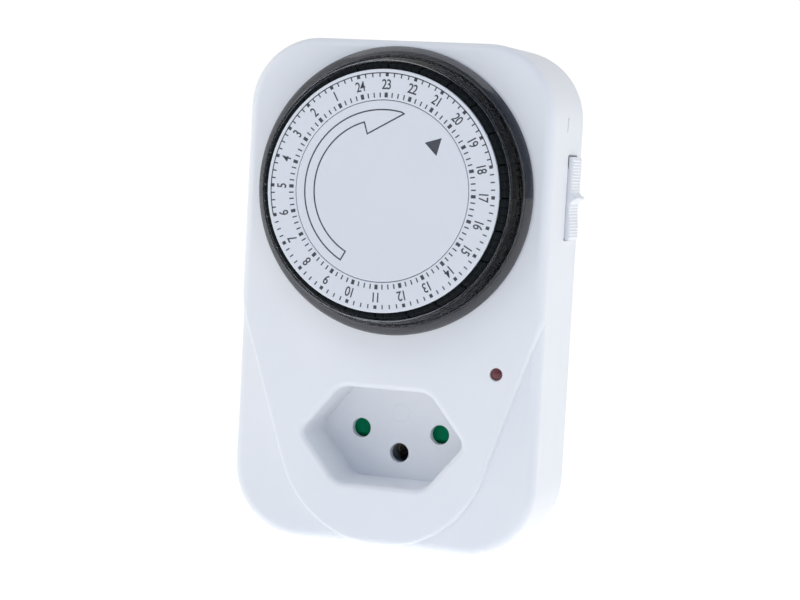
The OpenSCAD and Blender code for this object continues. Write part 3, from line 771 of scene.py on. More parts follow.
@dataclass
class Case:
    """The front moulding: its face, the raised apron, the socket's mouth and the switch's window.

    The tube round the socket ends level with the contact carrier's plate, and the carrier's towers
    rise tower_rise behind that plate. The slider reaches slider_below under the window's middle.
    A place within touch of the outline is on it, and a line within plumb of upright is upright.
    """

    corner_r: float = 16.0
    front_round: float = 2.2
    rear_round: float = 0.4
    inner_round: float = 0.2
    front_wall: float = 2.6
    side_wall: float = 2.2
    apron_step: float = 1.0
    apron_r: float = 25.0
    apron_foot: float = 0.3
    apron_lean: float = 18.3
    apron_run: float = 46.0
    apron_round: float = 0.85
    apron_draft: float = 0.08
    arc_steps: int = 48
    edge_steps: int = 5
    opening_r: float = 30.0
    lamp_r: float = 1.4
    edge: float = 0.3
    recess_half_w: float = 18.6
    recess_half_h: float = 10.9
    recess_round: float = 4.5
    recess_tip_r: float = 2.4
    recess_slope: float = 51.0
    lip: float = 1.2
    pin_y: float = 24.9
    shoulder: float = 0.5
    shell: float = 1.5
    tower_rise: float = 4.6
    slider_below: float = 12.8
    window_half: float = 9.6
    window_depth: Flat = (14.9, 23.7)
    window_r: float = 0.5
    window_edge: float = 0.18
    touch: float = 0.01
    plumb: float = 0.001
    box: Span = field(default_factory=lambda: span("front_housing"))

    def __post_init__(self) -> None:
        """Works out the places that follow from the sizes."""
        self.half_w, self.height, self.rear = self.box.high
        self.dial_at: Flat = span("dial_skirt").middle()[:2]
        self.lamp_at: Flat = span("lamp_lens").middle()[:2]
        self.floor = span("socket_insert").low[2]
        self.tube_end = span("contact_carrier").high[2] - self.tower_rise
        middle = span("override_slider").low[1] + self.slider_below
        self.window = rounded_box((middle - self.window_half, self.window_depth[0]),
                                  (middle + self.window_half, self.window_depth[1]), self.window_r)
        x, r = self.half_w - self.corner_r, self.corner_r
        corners = (-x, r, r), (x, r, r), (x, self.height - r, r), (-x, self.height - r, r)
        self.outline = Arcs(corners, steps=16)
        self.apron_at = 0.0, self.apron_r + self.apron_foot
        self.recess = self._recess()

    def _recess(self) -> Arcs:
        """The six-sided outline of the socket's recess."""
        tip = self.recess_half_w - self.recess_tip_r
        top = self.recess_half_h - self.recess_round
        slope = math.radians(self.recess_slope)
        knee = tip + (self.recess_tip_r - self.recess_round - top * math.cos(slope)) / math.sin(slope)
        places = ((tip, 0), (knee, top), (-knee, top), (-tip, 0), (-knee, -top), (knee, -top))
        return Arcs(
            tuple((x, y + self.pin_y, self.recess_round if y else self.recess_tip_r) for x, y in places)
        )

    def past_apron(self, x: float, y: float) -> float:
        """How far a place of the front lies outside the apron's edge; inside it is negative."""
        x, y = abs(x - self.apron_at[0]), y - self.apron_at[1]
        lean = math.radians(self.apron_lean)
        low = self.apron_r * math.cos(lean), -self.apron_r * math.sin(lean)
        if (x - low[0]) * math.sin(lean) + (y - low[1]) * math.cos(lean) < 0:
            return math.hypot(x, y) - self.apron_r
        return (x - low[0]) * math.cos(lean) - (y - low[1]) * math.sin(lean)

    def past_corner(self, x: float, y: float) -> Flat:
        """How far a place lies beyond the corner arcs' centres, across and up."""
        return (abs(x) - (self.half_w - self.corner_r),
                abs(y - self.height / 2) - (self.height / 2 - self.corner_r))

    def inset(self, x: float, y: float) -> float:
        """How far a place of the front lies inside the case's outline."""
        u, v = self.past_corner(x, y)
        return self.corner_r - math.hypot(max(u, 0), max(v, 0)) - min(max(u, v), 0)

    def depth(self, x: float, y: float) -> float:
        """The depth of the front's surface at a place."""
        out, r = self.past_apron(x, y), self.apron_round
        if out <= -r:
            step = 0.0
        elif out < 0:
            step = r - math.sqrt(r * r - (out + r) ** 2)
        else:
            step = r + (self.apron_step - r) * min(1.0, out / self.apron_draft)
        near = max(0.0, self.front_round - max(0.0, self.inset(x, y)))
        return step + self.front_round - math.sqrt(self.front_round**2 - near**2)

    def _apron_line(self, out: float) -> list[Flat]:
        """The apron's edge moved out by a distance, from one side of the case to the other."""
        lean, steps = self.apron_lean, self.arc_steps
        across = self.apron_run * math.sin(math.radians(lean))
        up = self.apron_run * math.cos(math.radians(lean))
        turns = [-lean - (180 - 2 * lean) * k / steps for k in range(steps + 1)]
        line = [polar(self.apron_r + out, a, self.apron_at) for a in turns]
        (right, right_y), (left, left_y) = line[0], line[-1]
        return [(right + across, right_y + up), *line, (left - across, left_y + up)]

    def _apron_lines(self) -> list[list[Flat]]:
        """The lines that the apron's rounded edge and its step follow."""
        turns = [math.pi / 2 * k / self.edge_steps for k in range(self.edge_steps)]
        offsets = [-self.apron_round + self.apron_round * math.sin(t) for t in turns]
        return [self._apron_line(out) for out in [*offsets, 0.0, self.apron_draft]]

    def build(self) -> bpy.types.Object:
        """Builds the case's skin and dresses it."""
        skin = Skin(self.half_w)
        opening = Ring(self.dial_at, self.opening_r, steps=96)
        lamp = Ring(self.lamp_at, self.lamp_r, steps=32)
        front_rings = [self.outline.loop(-m) for m, _ in quarter_turn(self.front_round, steps=8)]
        holes = [opening.loop(self.edge), self.recess.loop(self.lip), lamp.loop(self.edge)]
        front = flat_pattern([*front_rings, *holes], [front_rings[0], *holes], self._apron_lines())
        skin.lift(front, self.depth)
        self._side_walls(skin, front)
        self._rear_and_inside(skin)
        for hole in (opening, lamp):
            skin.sweep(hole, [*reversed(quarter_turn(self.edge, steps=4)), (0, self.front_wall)])
        mouth, lap, tube = quarter_turn(self.lip, steps=8), self.shoulder, self.tube_end
        skin.sweep(self.recess, [*reversed(mouth), (0, self.floor), (lap, self.floor), (lap, tube),
                                 (self.shell, tube), (self.shell, self.front_wall)])
        inner = self.outline.loop(-self.side_wall)
        skin.fill(self.front_wall, inner, opening.loop(), self.recess.loop(self.shell), lamp.loop())
        piece = skin.piece("case_front", Finish.CASE_WHITE.material())
        return fit(piece, "housing", "white_housing", "front_housing")

    def _side_walls(self, skin: Skin, front: Sequence[Sequence[Flat]]) -> None:
        """Adds the walls from the front's edge back to the rear rim, with the switch's window."""
        level = self.rear - self.rear_round
        low, high = self.corner_r, self.height - self.corner_r
        seen: dict[frozenset[Flat], tuple[Flat, Flat]] = {}
        for triangle in front:
            for a, b in zip(triangle, [*triangle[1:], triangle[0]]):
                if seen.pop(frozenset((a, b)), None) is None:
                    seen[frozenset((a, b))] = (a, b)
        panels: dict[int, set[Flat]] = {-1: set(), 1: set()}
        for a, b in seen.values():
            if max(self.inset(*a), self.inset(*b)) > self.touch:
                continue
            on_flat = abs(a[0] - b[0]) < self.plumb and abs(a[0]) > self.half_w - self.touch
            if on_flat and low < (a[1] + b[1]) / 2 < high:
                panels[1 if a[0] > 0 else -1] |= {(p[1], self.depth(*p)) for p in (a, b)}
            else:
                corners = [(*a, self.depth(*a)), (*b, self.depth(*b)), (*b, level), (*a, level)]
                skin.face(corners, [lean_of((*self._outward(*p[:2]), 0)) for p in corners])
        window_mouth = self.window.loop(self.window_edge)
        for side, tops in panels.items():
            edge_line = [*sorted(tops), (high, level), (low, level)]
            loops = [edge_line, window_mouth] if side > 0 else [edge_line]
            for triangle in flat_pattern(loops, loops):
                skin.face([(side * self.half_w, u, v) for u, v in triangle], [lean_of((side, 0, 0))] * 3)

    def _outward(self, x: float, y: float) -> Flat:
        """The direction straight out of the case's outline at a place on it."""
        u, v = (max(beyond, 0) for beyond in self.past_corner(x, y))
        size = math.hypot(u, v)
        return math.copysign(u, x) / size, math.copysign(v, y - self.height / 2) / size

    def _rear_and_inside(self, skin: Skin) -> None:
        """Adds the rear rim, the inside of the side walls and the window's reveal."""
        low, high, back = self.corner_r, self.height - self.corner_r, self.rear - self.inner_round
        rim = [(-m, self.rear - d) for m, d in quarter_turn(self.rear_round, steps=4)]
        inner_turn = reversed(quarter_turn(self.inner_round, steps=3))
        skin.sweep(self.outline, [*rim, *((-self.side_wall + m, self.rear - d) for m, d in inner_turn)])
        wall_x = self.half_w - self.side_wall

        def off_window(a: Rim, b: Rim) -> bool:
            """Says whether a piece of the outline is anything but the window's flat wall."""
            return min(a.u, b.u) <= wall_x - self.touch or abs(a.v - b.v) <= self.window_half * 2

        wall = [(-self.side_wall, back), (-self.side_wall, self.front_wall)]
        skin.sweep(self.outline, wall, keep=off_window)
        inside = [(low, self.front_wall), (high, self.front_wall), (high, back), (low, back)]
        skin.fill(self.side_wall, inside, self.window.loop(), facing=Facing.RIGHT)
        reveal = [*reversed(quarter_turn(self.window_edge, steps=4)), (0, self.side_wall)]
        skin.sweep(self.window, reveal, Facing.RIGHT)


@dataclass
class SocketFloor:
    """The plate with three holes at the bottom of the recess, and the fine ring of its gate mark."""

    case: Case
    hole_r: float = 2.25
    chamfer: float = 0.15
    half_spacing: float = 9.5
    earth_drop: float = 5.0
    lap: float = 0.45
    thickness: float = 2.0
    gate_at: Flat = (0.0, 29.15)
    gate_r: float = 2.0
    gate_rise: float = 0.07
    gate_foot: float = 0.16
    gate_crest: float = 0.07

    def build(self) -> bpy.types.Object:
        """Builds the plate and dresses it."""
        skin, recess, y = Skin(), self.case.recess, self.case.pin_y
        top = self.case.floor
        back, crest = top + self.thickness, top - self.gate_rise
        holes = [Ring(at, self.hole_r, steps=40) for at in
                 ((self.half_spacing, y), (-self.half_spacing, y), (0.0, y - self.earth_drop))]
        gate = Ring(self.gate_at, self.gate_r)
        skin.fill(top, recess.loop(self.lap), gate.loop(self.gate_foot),
                  *[hole.loop(self.chamfer) for hole in holes])
        skin.sweep(gate, [(self.gate_foot, top), (self.gate_crest, crest),
                          (-self.gate_crest, crest), (-self.gate_foot, top)])
        skin.fill(top, gate.loop(-self.gate_foot))
        mouth = [(m, top + d) for m, d in reversed(quarter_turn(self.chamfer, steps=4))]
        for hole in holes:
            skin.sweep(hole, [*mouth, (0, back)])
        skin.sweep(recess, [(self.lap, top), (self.lap, back)])
        skin.fill(back, recess.loop(self.lap), *[hole.loop() for hole in holes])
        piece = skin.piece("socket_floor", Finish.CASE_WHITE.material())
        return fit(piece, "housing", "white_housing", "socket_insert")


@dataclass
class RearCover:
    """The flat rear cover, its screw wells and the plug's six-sided boss."""

    case: Case
    gap: float = 0.1
    thickness: float = 2.5
    boss_inset: float = 0.6
    boss_wall: float = 1.5
    boss_end: float = 2.0
    boss_edge: float = 0.9
    boss_foot: float = 0.5
    well_r: float = 2.6
    well_depth: float = 1.5
    screw_hole_r: float = 1.35
    edge: float = 0.25
    screws: tuple[Flat, ...] = ((-28.0, 102.5), (28.0, 102.5), (-26.0, 9.5), (26.0, 9.5))

    def build(self) -> bpy.types.Object:
        """Builds the cover and dresses it."""
        outline, recess, skin = self.case.outline, self.case.recess, Skin()
        rear, rim = self.case.rear, -self.case.side_wall - self.gap
        inner, floor = rear - self.thickness, rear - self.well_depth
        wells = [Ring(at, self.well_r, steps=32) for at in self.screws]
        bores = [Ring(at, self.screw_hole_r, steps=24) for at in self.screws]
        plate_edge = [(rim - m, rear - d) for m, d in quarter_turn(self.edge, steps=3)]
        skin.sweep(outline, [(rim, inner), *plate_edge])
        spread = self.boss_foot - self.boss_inset
        skin.fill(rear, outline.loop(plate_edge[-1][0]), recess.loop(spread),
                  *[well.loop(self.edge) for well in wells])
        end = span("rear_cover").high[2]
        foot = [(spread - m, rear + self.boss_foot - d) for m, d in quarter_turn(self.boss_foot, steps=4)]
        top = [(-self.boss_inset - m, end - d) for m, d in quarter_turn(self.boss_edge, steps=6)]
        skin.sweep(recess, [*foot, *top])
        skin.fill(end, recess.loop(top[-1][0]))
        mouth = [(m, rear - d) for m, d in reversed(quarter_turn(self.edge, steps=3))]
        for well, bore in zip(wells, bores):
            skin.sweep(well, [*mouth, (0, floor)])
            skin.fill(floor, well.loop(), bore.loop())
            skin.sweep(bore, [(0, floor), (0, inner)])
        hollow = -self.boss_inset - self.boss_wall
        skin.fill(inner, outline.loop(rim), recess.loop(hollow), *[bore.loop() for bore in bores])
        skin.sweep(recess, [(hollow, inner), (hollow, end - self.boss_end)])
        skin.fill(end - self.boss_end, recess.loop(hollow))
        piece = skin.piece("case_rear_cover", Finish.CASE_WHITE.material())
        return fit(piece, "housing", "white_housing", "rear_cover")


@dataclass
class CoverScrews:
    """Four domed screws with a three-cornered drive, sunk in the cover's wells."""

    cover: RearCover
    head_r: float = 2.4
    head_rise: float = 1.3
    head_round: float = 0.6
    shank_r: float = 1.2
    tip: Flat = (0.3, 0.4)
    drive_r: float = 1.1
    drive_depth: float = 0.8

    def build(self) -> bpy.types.Object:
        """Builds the four screws as one piece and dresses it."""
        skin, low = Skin(), span("housing_screws").low[2]
        foot = self.cover.case.rear - self.cover.well_depth
        top = foot + self.head_rise
        drive_floor = top - self.drive_depth
        dome = [(self.head_r - m, top - d) for m, d in quarter_turn(self.head_round, steps=4)]
        for at in self.cover.screws:
            turned = Ring(at, steps=36)
            skin.sweep(turned, [(AXIS_R, low), (self.shank_r - self.tip[0], low),
                                (self.shank_r, low + self.tip[1]), (self.shank_r, foot),
                                (self.head_r, foot), *dome])
            skin.fill(low, turned.loop(AXIS_R))
            corners = [polar(self.drive_r, 90 + 120 * k, at) for k in range(3)]
            skin.fill(top, turned.loop(dome[-1][0]), corners)
            skin.fill(drive_floor, corners)
            for a, b in zip(corners, [*corners[1:], corners[0]]):
                wall = [(*a, top), (*b, top), (*b, drive_floor), (*a, drive_floor)]
                skin.face(wall, [lean_of((b[1] - a[1], a[0] - b[0], 0))] * 4)
        piece = skin.piece("cover_screws", Finish.SCREW_STEEL.material())
        return fit(piece, "housing", "screw_steel", "housing_screws")


# ---- The dial ----


@dataclass
class DialFace:
    """The turning scale ring and the fixed centre disc, with their printed marks.

    The night arc spans night_hours before and after midnight. cap_height is a digit's share of its
    font's size. The arrow's tip and notch and the pointer's corners are (radius, degrees) about the
    dial's centre.
    """

    print_rise: float = 0.03
    ink_sunk: float = 0.01
    edge: float = 0.22
    hole_edge: float = 0.18
    gap: float = 0.14
    hours: int = 24
    quarters: int = 4
    night_hours: int = 6
    midnight: float = 105.0
    cap_height: float = 0.7
    digit_height: float = 2.14
    digit_squeeze: float = 0.79
    digit_spacing: float = 0.86
    digit_weight: float = 0.03
    digit_r: float = 22.25
    inner_ticks: Flat = (20.45, 21.5)
    outer_ticks: Flat = (24.9, 25.82)
    hour_short: float = 0.12
    tick_w: float = 0.27
    hour_w: float = 0.72
    arc_r: Flat = (25.68, 25.9)
    arc_step: float = 2.5
    arrow_line: float = 0.3
    arrow_outer: float = 17.8
    arrow_inner: float = 15.6
    arrow_tail: float = 241.0
    arrow_neck: float = 77.8
    arrow_tip: Flat = (17.6, 75.8)
    arrow_notch: Flat = (12.95, 107.5)
    arrow_step: float = 3.0
    least_mitre: float = 0.35
    pointer: tuple[Flat, ...] = ((17.95, 42.9), (14.75, 34.4), (14.5, 49.6))

    def __post_init__(self) -> None:
        """Reads the dial's place and size from its solids."""
        ring, disc = span("scale_ring"), span("centre_disc")
        self.centre: Flat = ring.middle()[:2]
        self.outer_r = (ring.high[0] - ring.low[0]) / 2
        self.disc_r = (disc.high[0] - disc.low[0]) / 2
        self.front = ring.low[2]
        self.face = self.front + self.print_rise
        self.ink_back = self.face + self.ink_sunk
        self.ring_back = ring.high[2]
        self.disc_back = disc.high[2]

    def _plate(self, name: str, inner: float, outer: float, back: float) -> bpy.types.Object:
        """A flat turned plate with rounded front edges; inner 0 makes it a full disc."""
        skin = Skin()
        turned = Ring(self.centre, steps=192)
        rim = [(outer - m, self.face + d) for m, d in quarter_turn(self.edge, steps=4)]
        hole = [(inner + m, self.face + d) for m, d in quarter_turn(self.hole_edge, steps=3)]
        skin.sweep(turned, [(outer, back), *rim])
        if inner:
            skin.fill(self.face, turned.loop(rim[-1][0]), turned.loop(hole[-1][0]))
            skin.sweep(turned, [*reversed(hole), (inner, back)])
            skin.fill(back, turned.loop(outer), turned.loop(inner))
        else:
            skin.fill(self.face, turned.loop(rim[-1][0]))
            skin.fill(back, turned.loop(outer))
        return skin.piece(name, Finish.DIAL_WHITE.material())

    def build(self) -> None:
        """Builds both plates and every printed mark."""
        ring = self._plate("dial_scale_ring", self.disc_r + self.gap, self.outer_r, self.ring_back)
        fit(ring, "dial", "dial_white", "scale_ring")
        disc = self._plate("dial_centre_disc", 0.0, self.disc_r, self.disc_back)
        fit(disc, "housing", "dial_white", "centre_disc")
        for mark, body in ((self._scale, "dial"), (self._numerals, "dial"),
                           (self._arrow, "housing"), (self._pointer, "housing")):
            fit(mark(), body, "dial_white")

    def _ink(self, bm: bmesh.types.BMesh, outline: Sequence[Flat]) -> None:
        """Adds one printed mark of ink, from the very front to just inside the plate."""
        prism(bm, [(*p, self.front) for p in outline], [(*p, self.ink_back) for p in outline])

    def _out(self, r: float, side: float, degrees: float) -> Flat:
        """The place at a radius and to the side of it, counter-clockwise, at an angle."""
        along, across = polar(1, degrees), polar(1, degrees + 90)
        return (self.centre[0] + r * along[0] + side * across[0],
                self.centre[1] + r * along[1] + side * across[1])

    def _bar(self, bm: bmesh.types.BMesh, radii: Flat, degrees: float, width: float) -> None:
        """Adds a straight mark across the scale."""
        near, far = radii
        corners = ((near, -width / 2), (far, -width / 2), (far, width / 2), (near, width / 2))
        self._ink(bm, [self._out(r, side, degrees) for r, side in corners])

    def _arc(self, bm: bmesh.types.BMesh, radii: Flat, start: float, end: float) -> None:
        """Adds a curved line."""
        turns = self._turns(start, end, self.arc_step)
        outline = [polar(radii[1], a, self.centre) for a in turns]
        outline += [polar(radii[0], a, self.centre) for a in reversed(turns)]
        self._ink(bm, outline)

    def _scale(self) -> bpy.types.Object:
        """The quarter-hour dashes, the hour blocks and the arc over the night hours."""
        bm = bmesh.new()
        pitch = 360 / (self.hours * self.quarters)
        for k in range(self.hours * self.quarters):
            degrees = self.midnight + k * pitch
            on_hour = k % self.quarters == 0
            width = self.hour_w if on_hour else self.tick_w
            self._bar(bm, self.inner_ticks, degrees, width)
            short = self.hour_short if on_hour else 0.0
            self._bar(bm, (self.outer_ticks[0] + short, self.outer_ticks[1]), degrees, width)
        night = self.night_hours * 360 / self.hours
        self._arc(bm, self.arc_r, self.midnight - night, self.midnight + night)
        return solid("dial_scale_print", bm, Finish.INK_DARK.material())

    def _numerals(self) -> bpy.types.Object:
        """The hour numbers 1 to 24, their tops outwards."""
        joined = bmesh.new()
        for hour in range(1, self.hours + 1):
            text = bpy.data.curves.new(f"numeral_{hour}", "FONT")
            text.body = str(hour)
            text.align_x = "CENTER"
            text.size = self.digit_height / self.cap_height
            text.offset = self.digit_weight
            text.space_character = self.digit_spacing
            text.resolution_u = 5
            text.extrude = (self.ink_back - self.front) / 2
            writer = bpy.data.objects.new(text.name, text)
            bpy.context.scene.collection.objects.link(writer)
            shaped = writer.evaluated_get(bpy.context.evaluated_depsgraph_get())
            mesh = bpy.data.meshes.new_from_object(shaped)
            degrees = self.midnight + hour * 360 / self.hours
            for vertex in mesh.vertices:
                r, right = self.digit_r + vertex.co.y, vertex.co.x * self.digit_squeeze
                depth = self.front + text.extrude - vertex.co.z
                vertex.co = stand((*self._out(r, -right, degrees), depth))
            joined.from_mesh(mesh)
            bpy.data.objects.remove(writer)
            bpy.data.curves.remove(text)
            bpy.data.meshes.remove(mesh)
        bmesh.ops.remove_doubles(joined, verts=joined.verts, dist=MERGE)
        return solid("dial_numerals_print", joined, Finish.INK_DARK.material())

    def _arrow(self) -> bpy.types.Object:
        """The outlined arrow that shows which way the dial turns."""
        tail, step = self.arrow_tail, self.arrow_step
        outer = [(self.arrow_outer, a) for a in self._turns(tail, self.arrow_neck, step)]
        inner = [(self.arrow_inner, a) for a in self._turns(self.arrow_notch[1], tail, step)]
        path = [polar(r, a, self.centre) for r, a in (*outer, self.arrow_tip, self.arrow_notch, *inner)]
        bm = bmesh.new()
        self._stroke(bm, path)
        return solid("dial_arrow_print", bm, Finish.INK_GREY.material())

    @staticmethod
    def _turns(start: float, end: float, step: float) -> list[float]:
        """Angles from one to another in even steps."""
        count = max(1, round(abs(end - start) / step))
        return [start + (end - start) * k / count for k in range(count + 1)]

    def _stroke(self, bm: bmesh.types.BMesh, path: Sequence[Flat]) -> None:
        """Adds a closed line of even width with mitred corners."""
        half, count = self.arrow_line / 2, len(path)
        rings = []
        for i in range(count):
            before, here, after = path[i - 1], path[i], path[(i + 1) % count]
            a = Vector((here[0] - before[0], here[1] - before[1])).normalized()
            b = Vector((after[0] - here[0], after[1] - here[1])).normalized()
            mitre = Vector((-a.y - b.y, a.x + b.x)).normalized()
            reach = half / max(self.least_mitre, mitre.dot(Vector((-a.y, a.x))))
            rings.append([
                [bm.verts.new(stand((here[0] + mitre.x * off, here[1] + mitre.y * off, level)))
                 for level in (self.front, self.ink_back)]
                for off in (reach, -reach)
            ])
        for i in range(count):
            (a, b), (c, d) = rings[i - 1], rings[i]
            for corners in ((a[0], c[0], d[0], b[0]), (a[1], b[1], d[1], c[1]),
                            (a[0], a[1], c[1], c[0]), (b[0], d[0], d[1], b[1])):
                bm.faces.new(corners)

    def _pointer(self) -> bpy.types.Object:
        """The solid triangle that points at the time of day."""
        bm = bmesh.new()
        self._ink(bm, [polar(r, a, self.centre) for r, a in self.pointer])
        return solid("dial_pointer_print", bm, Finish.INK_GREY.material())


@dataclass
class TappetCrown:
    """The ring of quarter-hour tappets, in sets of four that press in together.

    A tappet's nose stands behind the dial's front by front_set. Its neck lies neck_in inside tip_r
    and widens to it between the two depths of neck, counted from the nose. Its shoulder widens to
    outer_r between the two depths of shoulder. Its tail is thinner by tail_in on each side.
    """

    face: DialFace
    inner_r: float = 26.8
    tip_r: float = 28.2
    outer_r: float = 29.1
    sweep: float = 3.42
    pitch: float = 3.6
    edge: float = 0.08
    front_set: float = 0.6
    nose_chamfer: float = 0.15
    neck_in: float = 0.45
    neck: Flat = (1.4, 1.6)
    shoulder: Flat = (-5.5, -4.0)
    waist: float = -1.2
    waist_gap: float = 0.1
    tail_sweep: float = 1.9
    tail_in: float = 0.4
    tail_edge: float = 0.06
    back: float = 2.5
    toe_r: float = 29.85
    toe_front: float = -2.1
    toe_root: float = 0.3
    toe_edge: float = 0.05

    def build(self) -> None:
        """Builds every set and dresses it."""
        for hour in range(1, self.face.hours + 1):
            node = f"tappets_hour_{hour:02d}"
            bm = bmesh.new()
            for quarter in range(self.face.quarters):
                middle = self.face.midnight + (hour + 0.5) * 360 / self.face.hours
                self._tappet(bm, middle + (quarter + 0.5 - self.face.quarters / 2) * self.pitch)
            piece = solid(f"{node}_keys", bm, Finish.TAPPET_BLACK.material())
            fit(piece, f"{node}_set", "tappet_black", node)

    def _nose(self) -> list[Flat]:
        """The nose's section, as (radius, depth)."""
        front, neck_r = self.face.front + self.front_set, self.tip_r - self.neck_in
        return [(self.inner_r, front), (neck_r - self.nose_chamfer, front),
                (neck_r, front + self.nose_chamfer),
                (neck_r, front + self.neck[0]), (self.tip_r, front + self.neck[1]),
                (self.tip_r, self.shoulder[0]), (self.outer_r, self.shoulder[1]),
                (self.outer_r, self.waist), (self.inner_r, self.waist)]

    def _tail(self) -> list[Flat]:
        """The tail's section, as (radius, depth), chamfered at its end."""
        cut, back, start = self.tail_in, self.back, self.waist - self.waist_gap
        low, high = self.inner_r + cut, self.outer_r - cut
        return [(low, start), (high, start), (high, back - cut), (high - cut, back), (low + cut, back),
                (low, back - cut)]

    def _toe(self) -> list[Flat]:
        """The toe's outline from the front, as (radius, degrees)."""
        half, root = self.sweep / 2, self.outer_r - self.toe_root
        return [(root, -half), (self.outer_r, -half), (self.toe_r, 0), (self.outer_r, half), (root, half)]

    def _tappet(self, joined: bmesh.types.BMesh, degrees: float) -> None:
        """Adds one tappet: a wedge with a chamfered nose and a pointed toe, and the tail behind it."""
        centre, blocks = self.face.centre, []
        for section, sweep, edge in ((self._nose(), self.sweep, self.edge),
                                     (self._tail(), self.tail_sweep, self.tail_edge)):
            outlines = [[(*polar(r, degrees + turn, centre), d) for r, d in section]
                        for turn in (-sweep / 2, sweep / 2)]
            blocks.append((outlines, edge))
        toe = [polar(r, degrees + turn, centre) for r, turn in self._toe()]
        blocks.append(([[(*p, d) for p in toe] for d in (self.toe_front, self.waist)], self.toe_edge))
        for outlines, edge in blocks:
            bm = bmesh.new()
            prism(bm, *outlines)
            softened(bm, edge)
            mesh = bpy.data.meshes.new("tappet")
            bm.to_mesh(mesh)
            bm.free()
            joined.from_mesh(mesh)
            bpy.data.meshes.remove(mesh)


@dataclass
class DialSkirt:
    """The smoked clear skirt that is gripped to set the time: a round lip, a cone and a flange.

    The cone runs between its two points and carries a bead, and a fillet takes its foot into the
    flange. Points are (radius, depth); those of the lip, the bead and the flange's edge count from
    the lip's front, from bead_at and from the flange's outer corner.
    """

    face: DialFace
    lip_r: float = 28.9
    lip_round: float = 0.25
    lip_inside: Flat = (-0.4, 1.6)
    lip_outside: Flat = (0.08, 0.6)
    cone: tuple[Flat, Flat] = ((29.02, -6.2), (30.0, -2.6))
    bead_at: Flat = (29.62, -4.0)
    bead: tuple[Flat, ...] = ((0.0, 0.0), (0.05, 0.0), (0.08, 0.06), (0.08, 0.14), (0.07, 0.22))
    fillet_knee: Flat = (30.22, -1.7)
    fillet_end: Flat = (30.75, -1.4)
    flange_top: float = -0.8
    flange_edge: tuple[Flat, ...] = ((-0.35, 0.0), (-0.1, 0.06), (0.0, 0.17))
    foot_edge: float = 0.06
    bore: tuple[Flat, Flat] = ((30.02, -2.3), (29.45, -3.5))
    steps: int = 8

    def _fillet(self) -> list[Flat]:
        """The curve from the cone's foot into the flange."""
        corners = tuple(zip(self.cone[1], self.fillet_knee, self.fillet_end))
        return [
            tuple((1 - t) ** 2 * a + 2 * t * (1 - t) * b + t * t * c for a, b, c in corners)
            for t in [k / self.steps for k in range(self.steps + 1)]
        ]

    def _lip(self, front: float) -> list[Flat]:
        """The half round of the lip, from its inside to its outside."""
        r = self.lip_round
        turns = [math.pi * (1 - k / self.steps) for k in range(self.steps + 1)]
        return [(self.lip_r - r + r * math.cos(a), front + r - r * math.sin(a)) for a in turns]

    def build(self) -> bpy.types.Object:
        """Builds the skirt and dresses it."""
        box = span("dial_skirt")
        foot_r, foot, front = (box.high[0] - box.low[0]) / 2, box.high[2], box.low[2]
        section = [
            (self.lip_r + self.lip_inside[0], front + self.lip_inside[1]),
            *self._lip(front),
            (self.lip_r + self.lip_outside[0], front + self.lip_outside[1]),
            self.cone[0],
            *[(self.bead_at[0] + u, self.bead_at[1] + v) for u, v in self.bead],
            *self._fillet(),
            *[(foot_r + u, self.flange_top + v) for u, v in self.flange_edge],
            (foot_r, foot - self.foot_edge), (foot_r - self.foot_edge, foot),
            (self.bore[0][0], foot), *self.bore,
        ]
        skin = Skin()
        skin.sweep(Ring(self.face.centre, steps=224), [*section, section[0]])
        piece = skin.piece("dial_skirt_smoked", Finish.SMOKED_CLEAR.material())
        return fit(piece, "dial", "smoked_clear", "dial_skirt")


# ---- The side switch and the pilot lamp ----


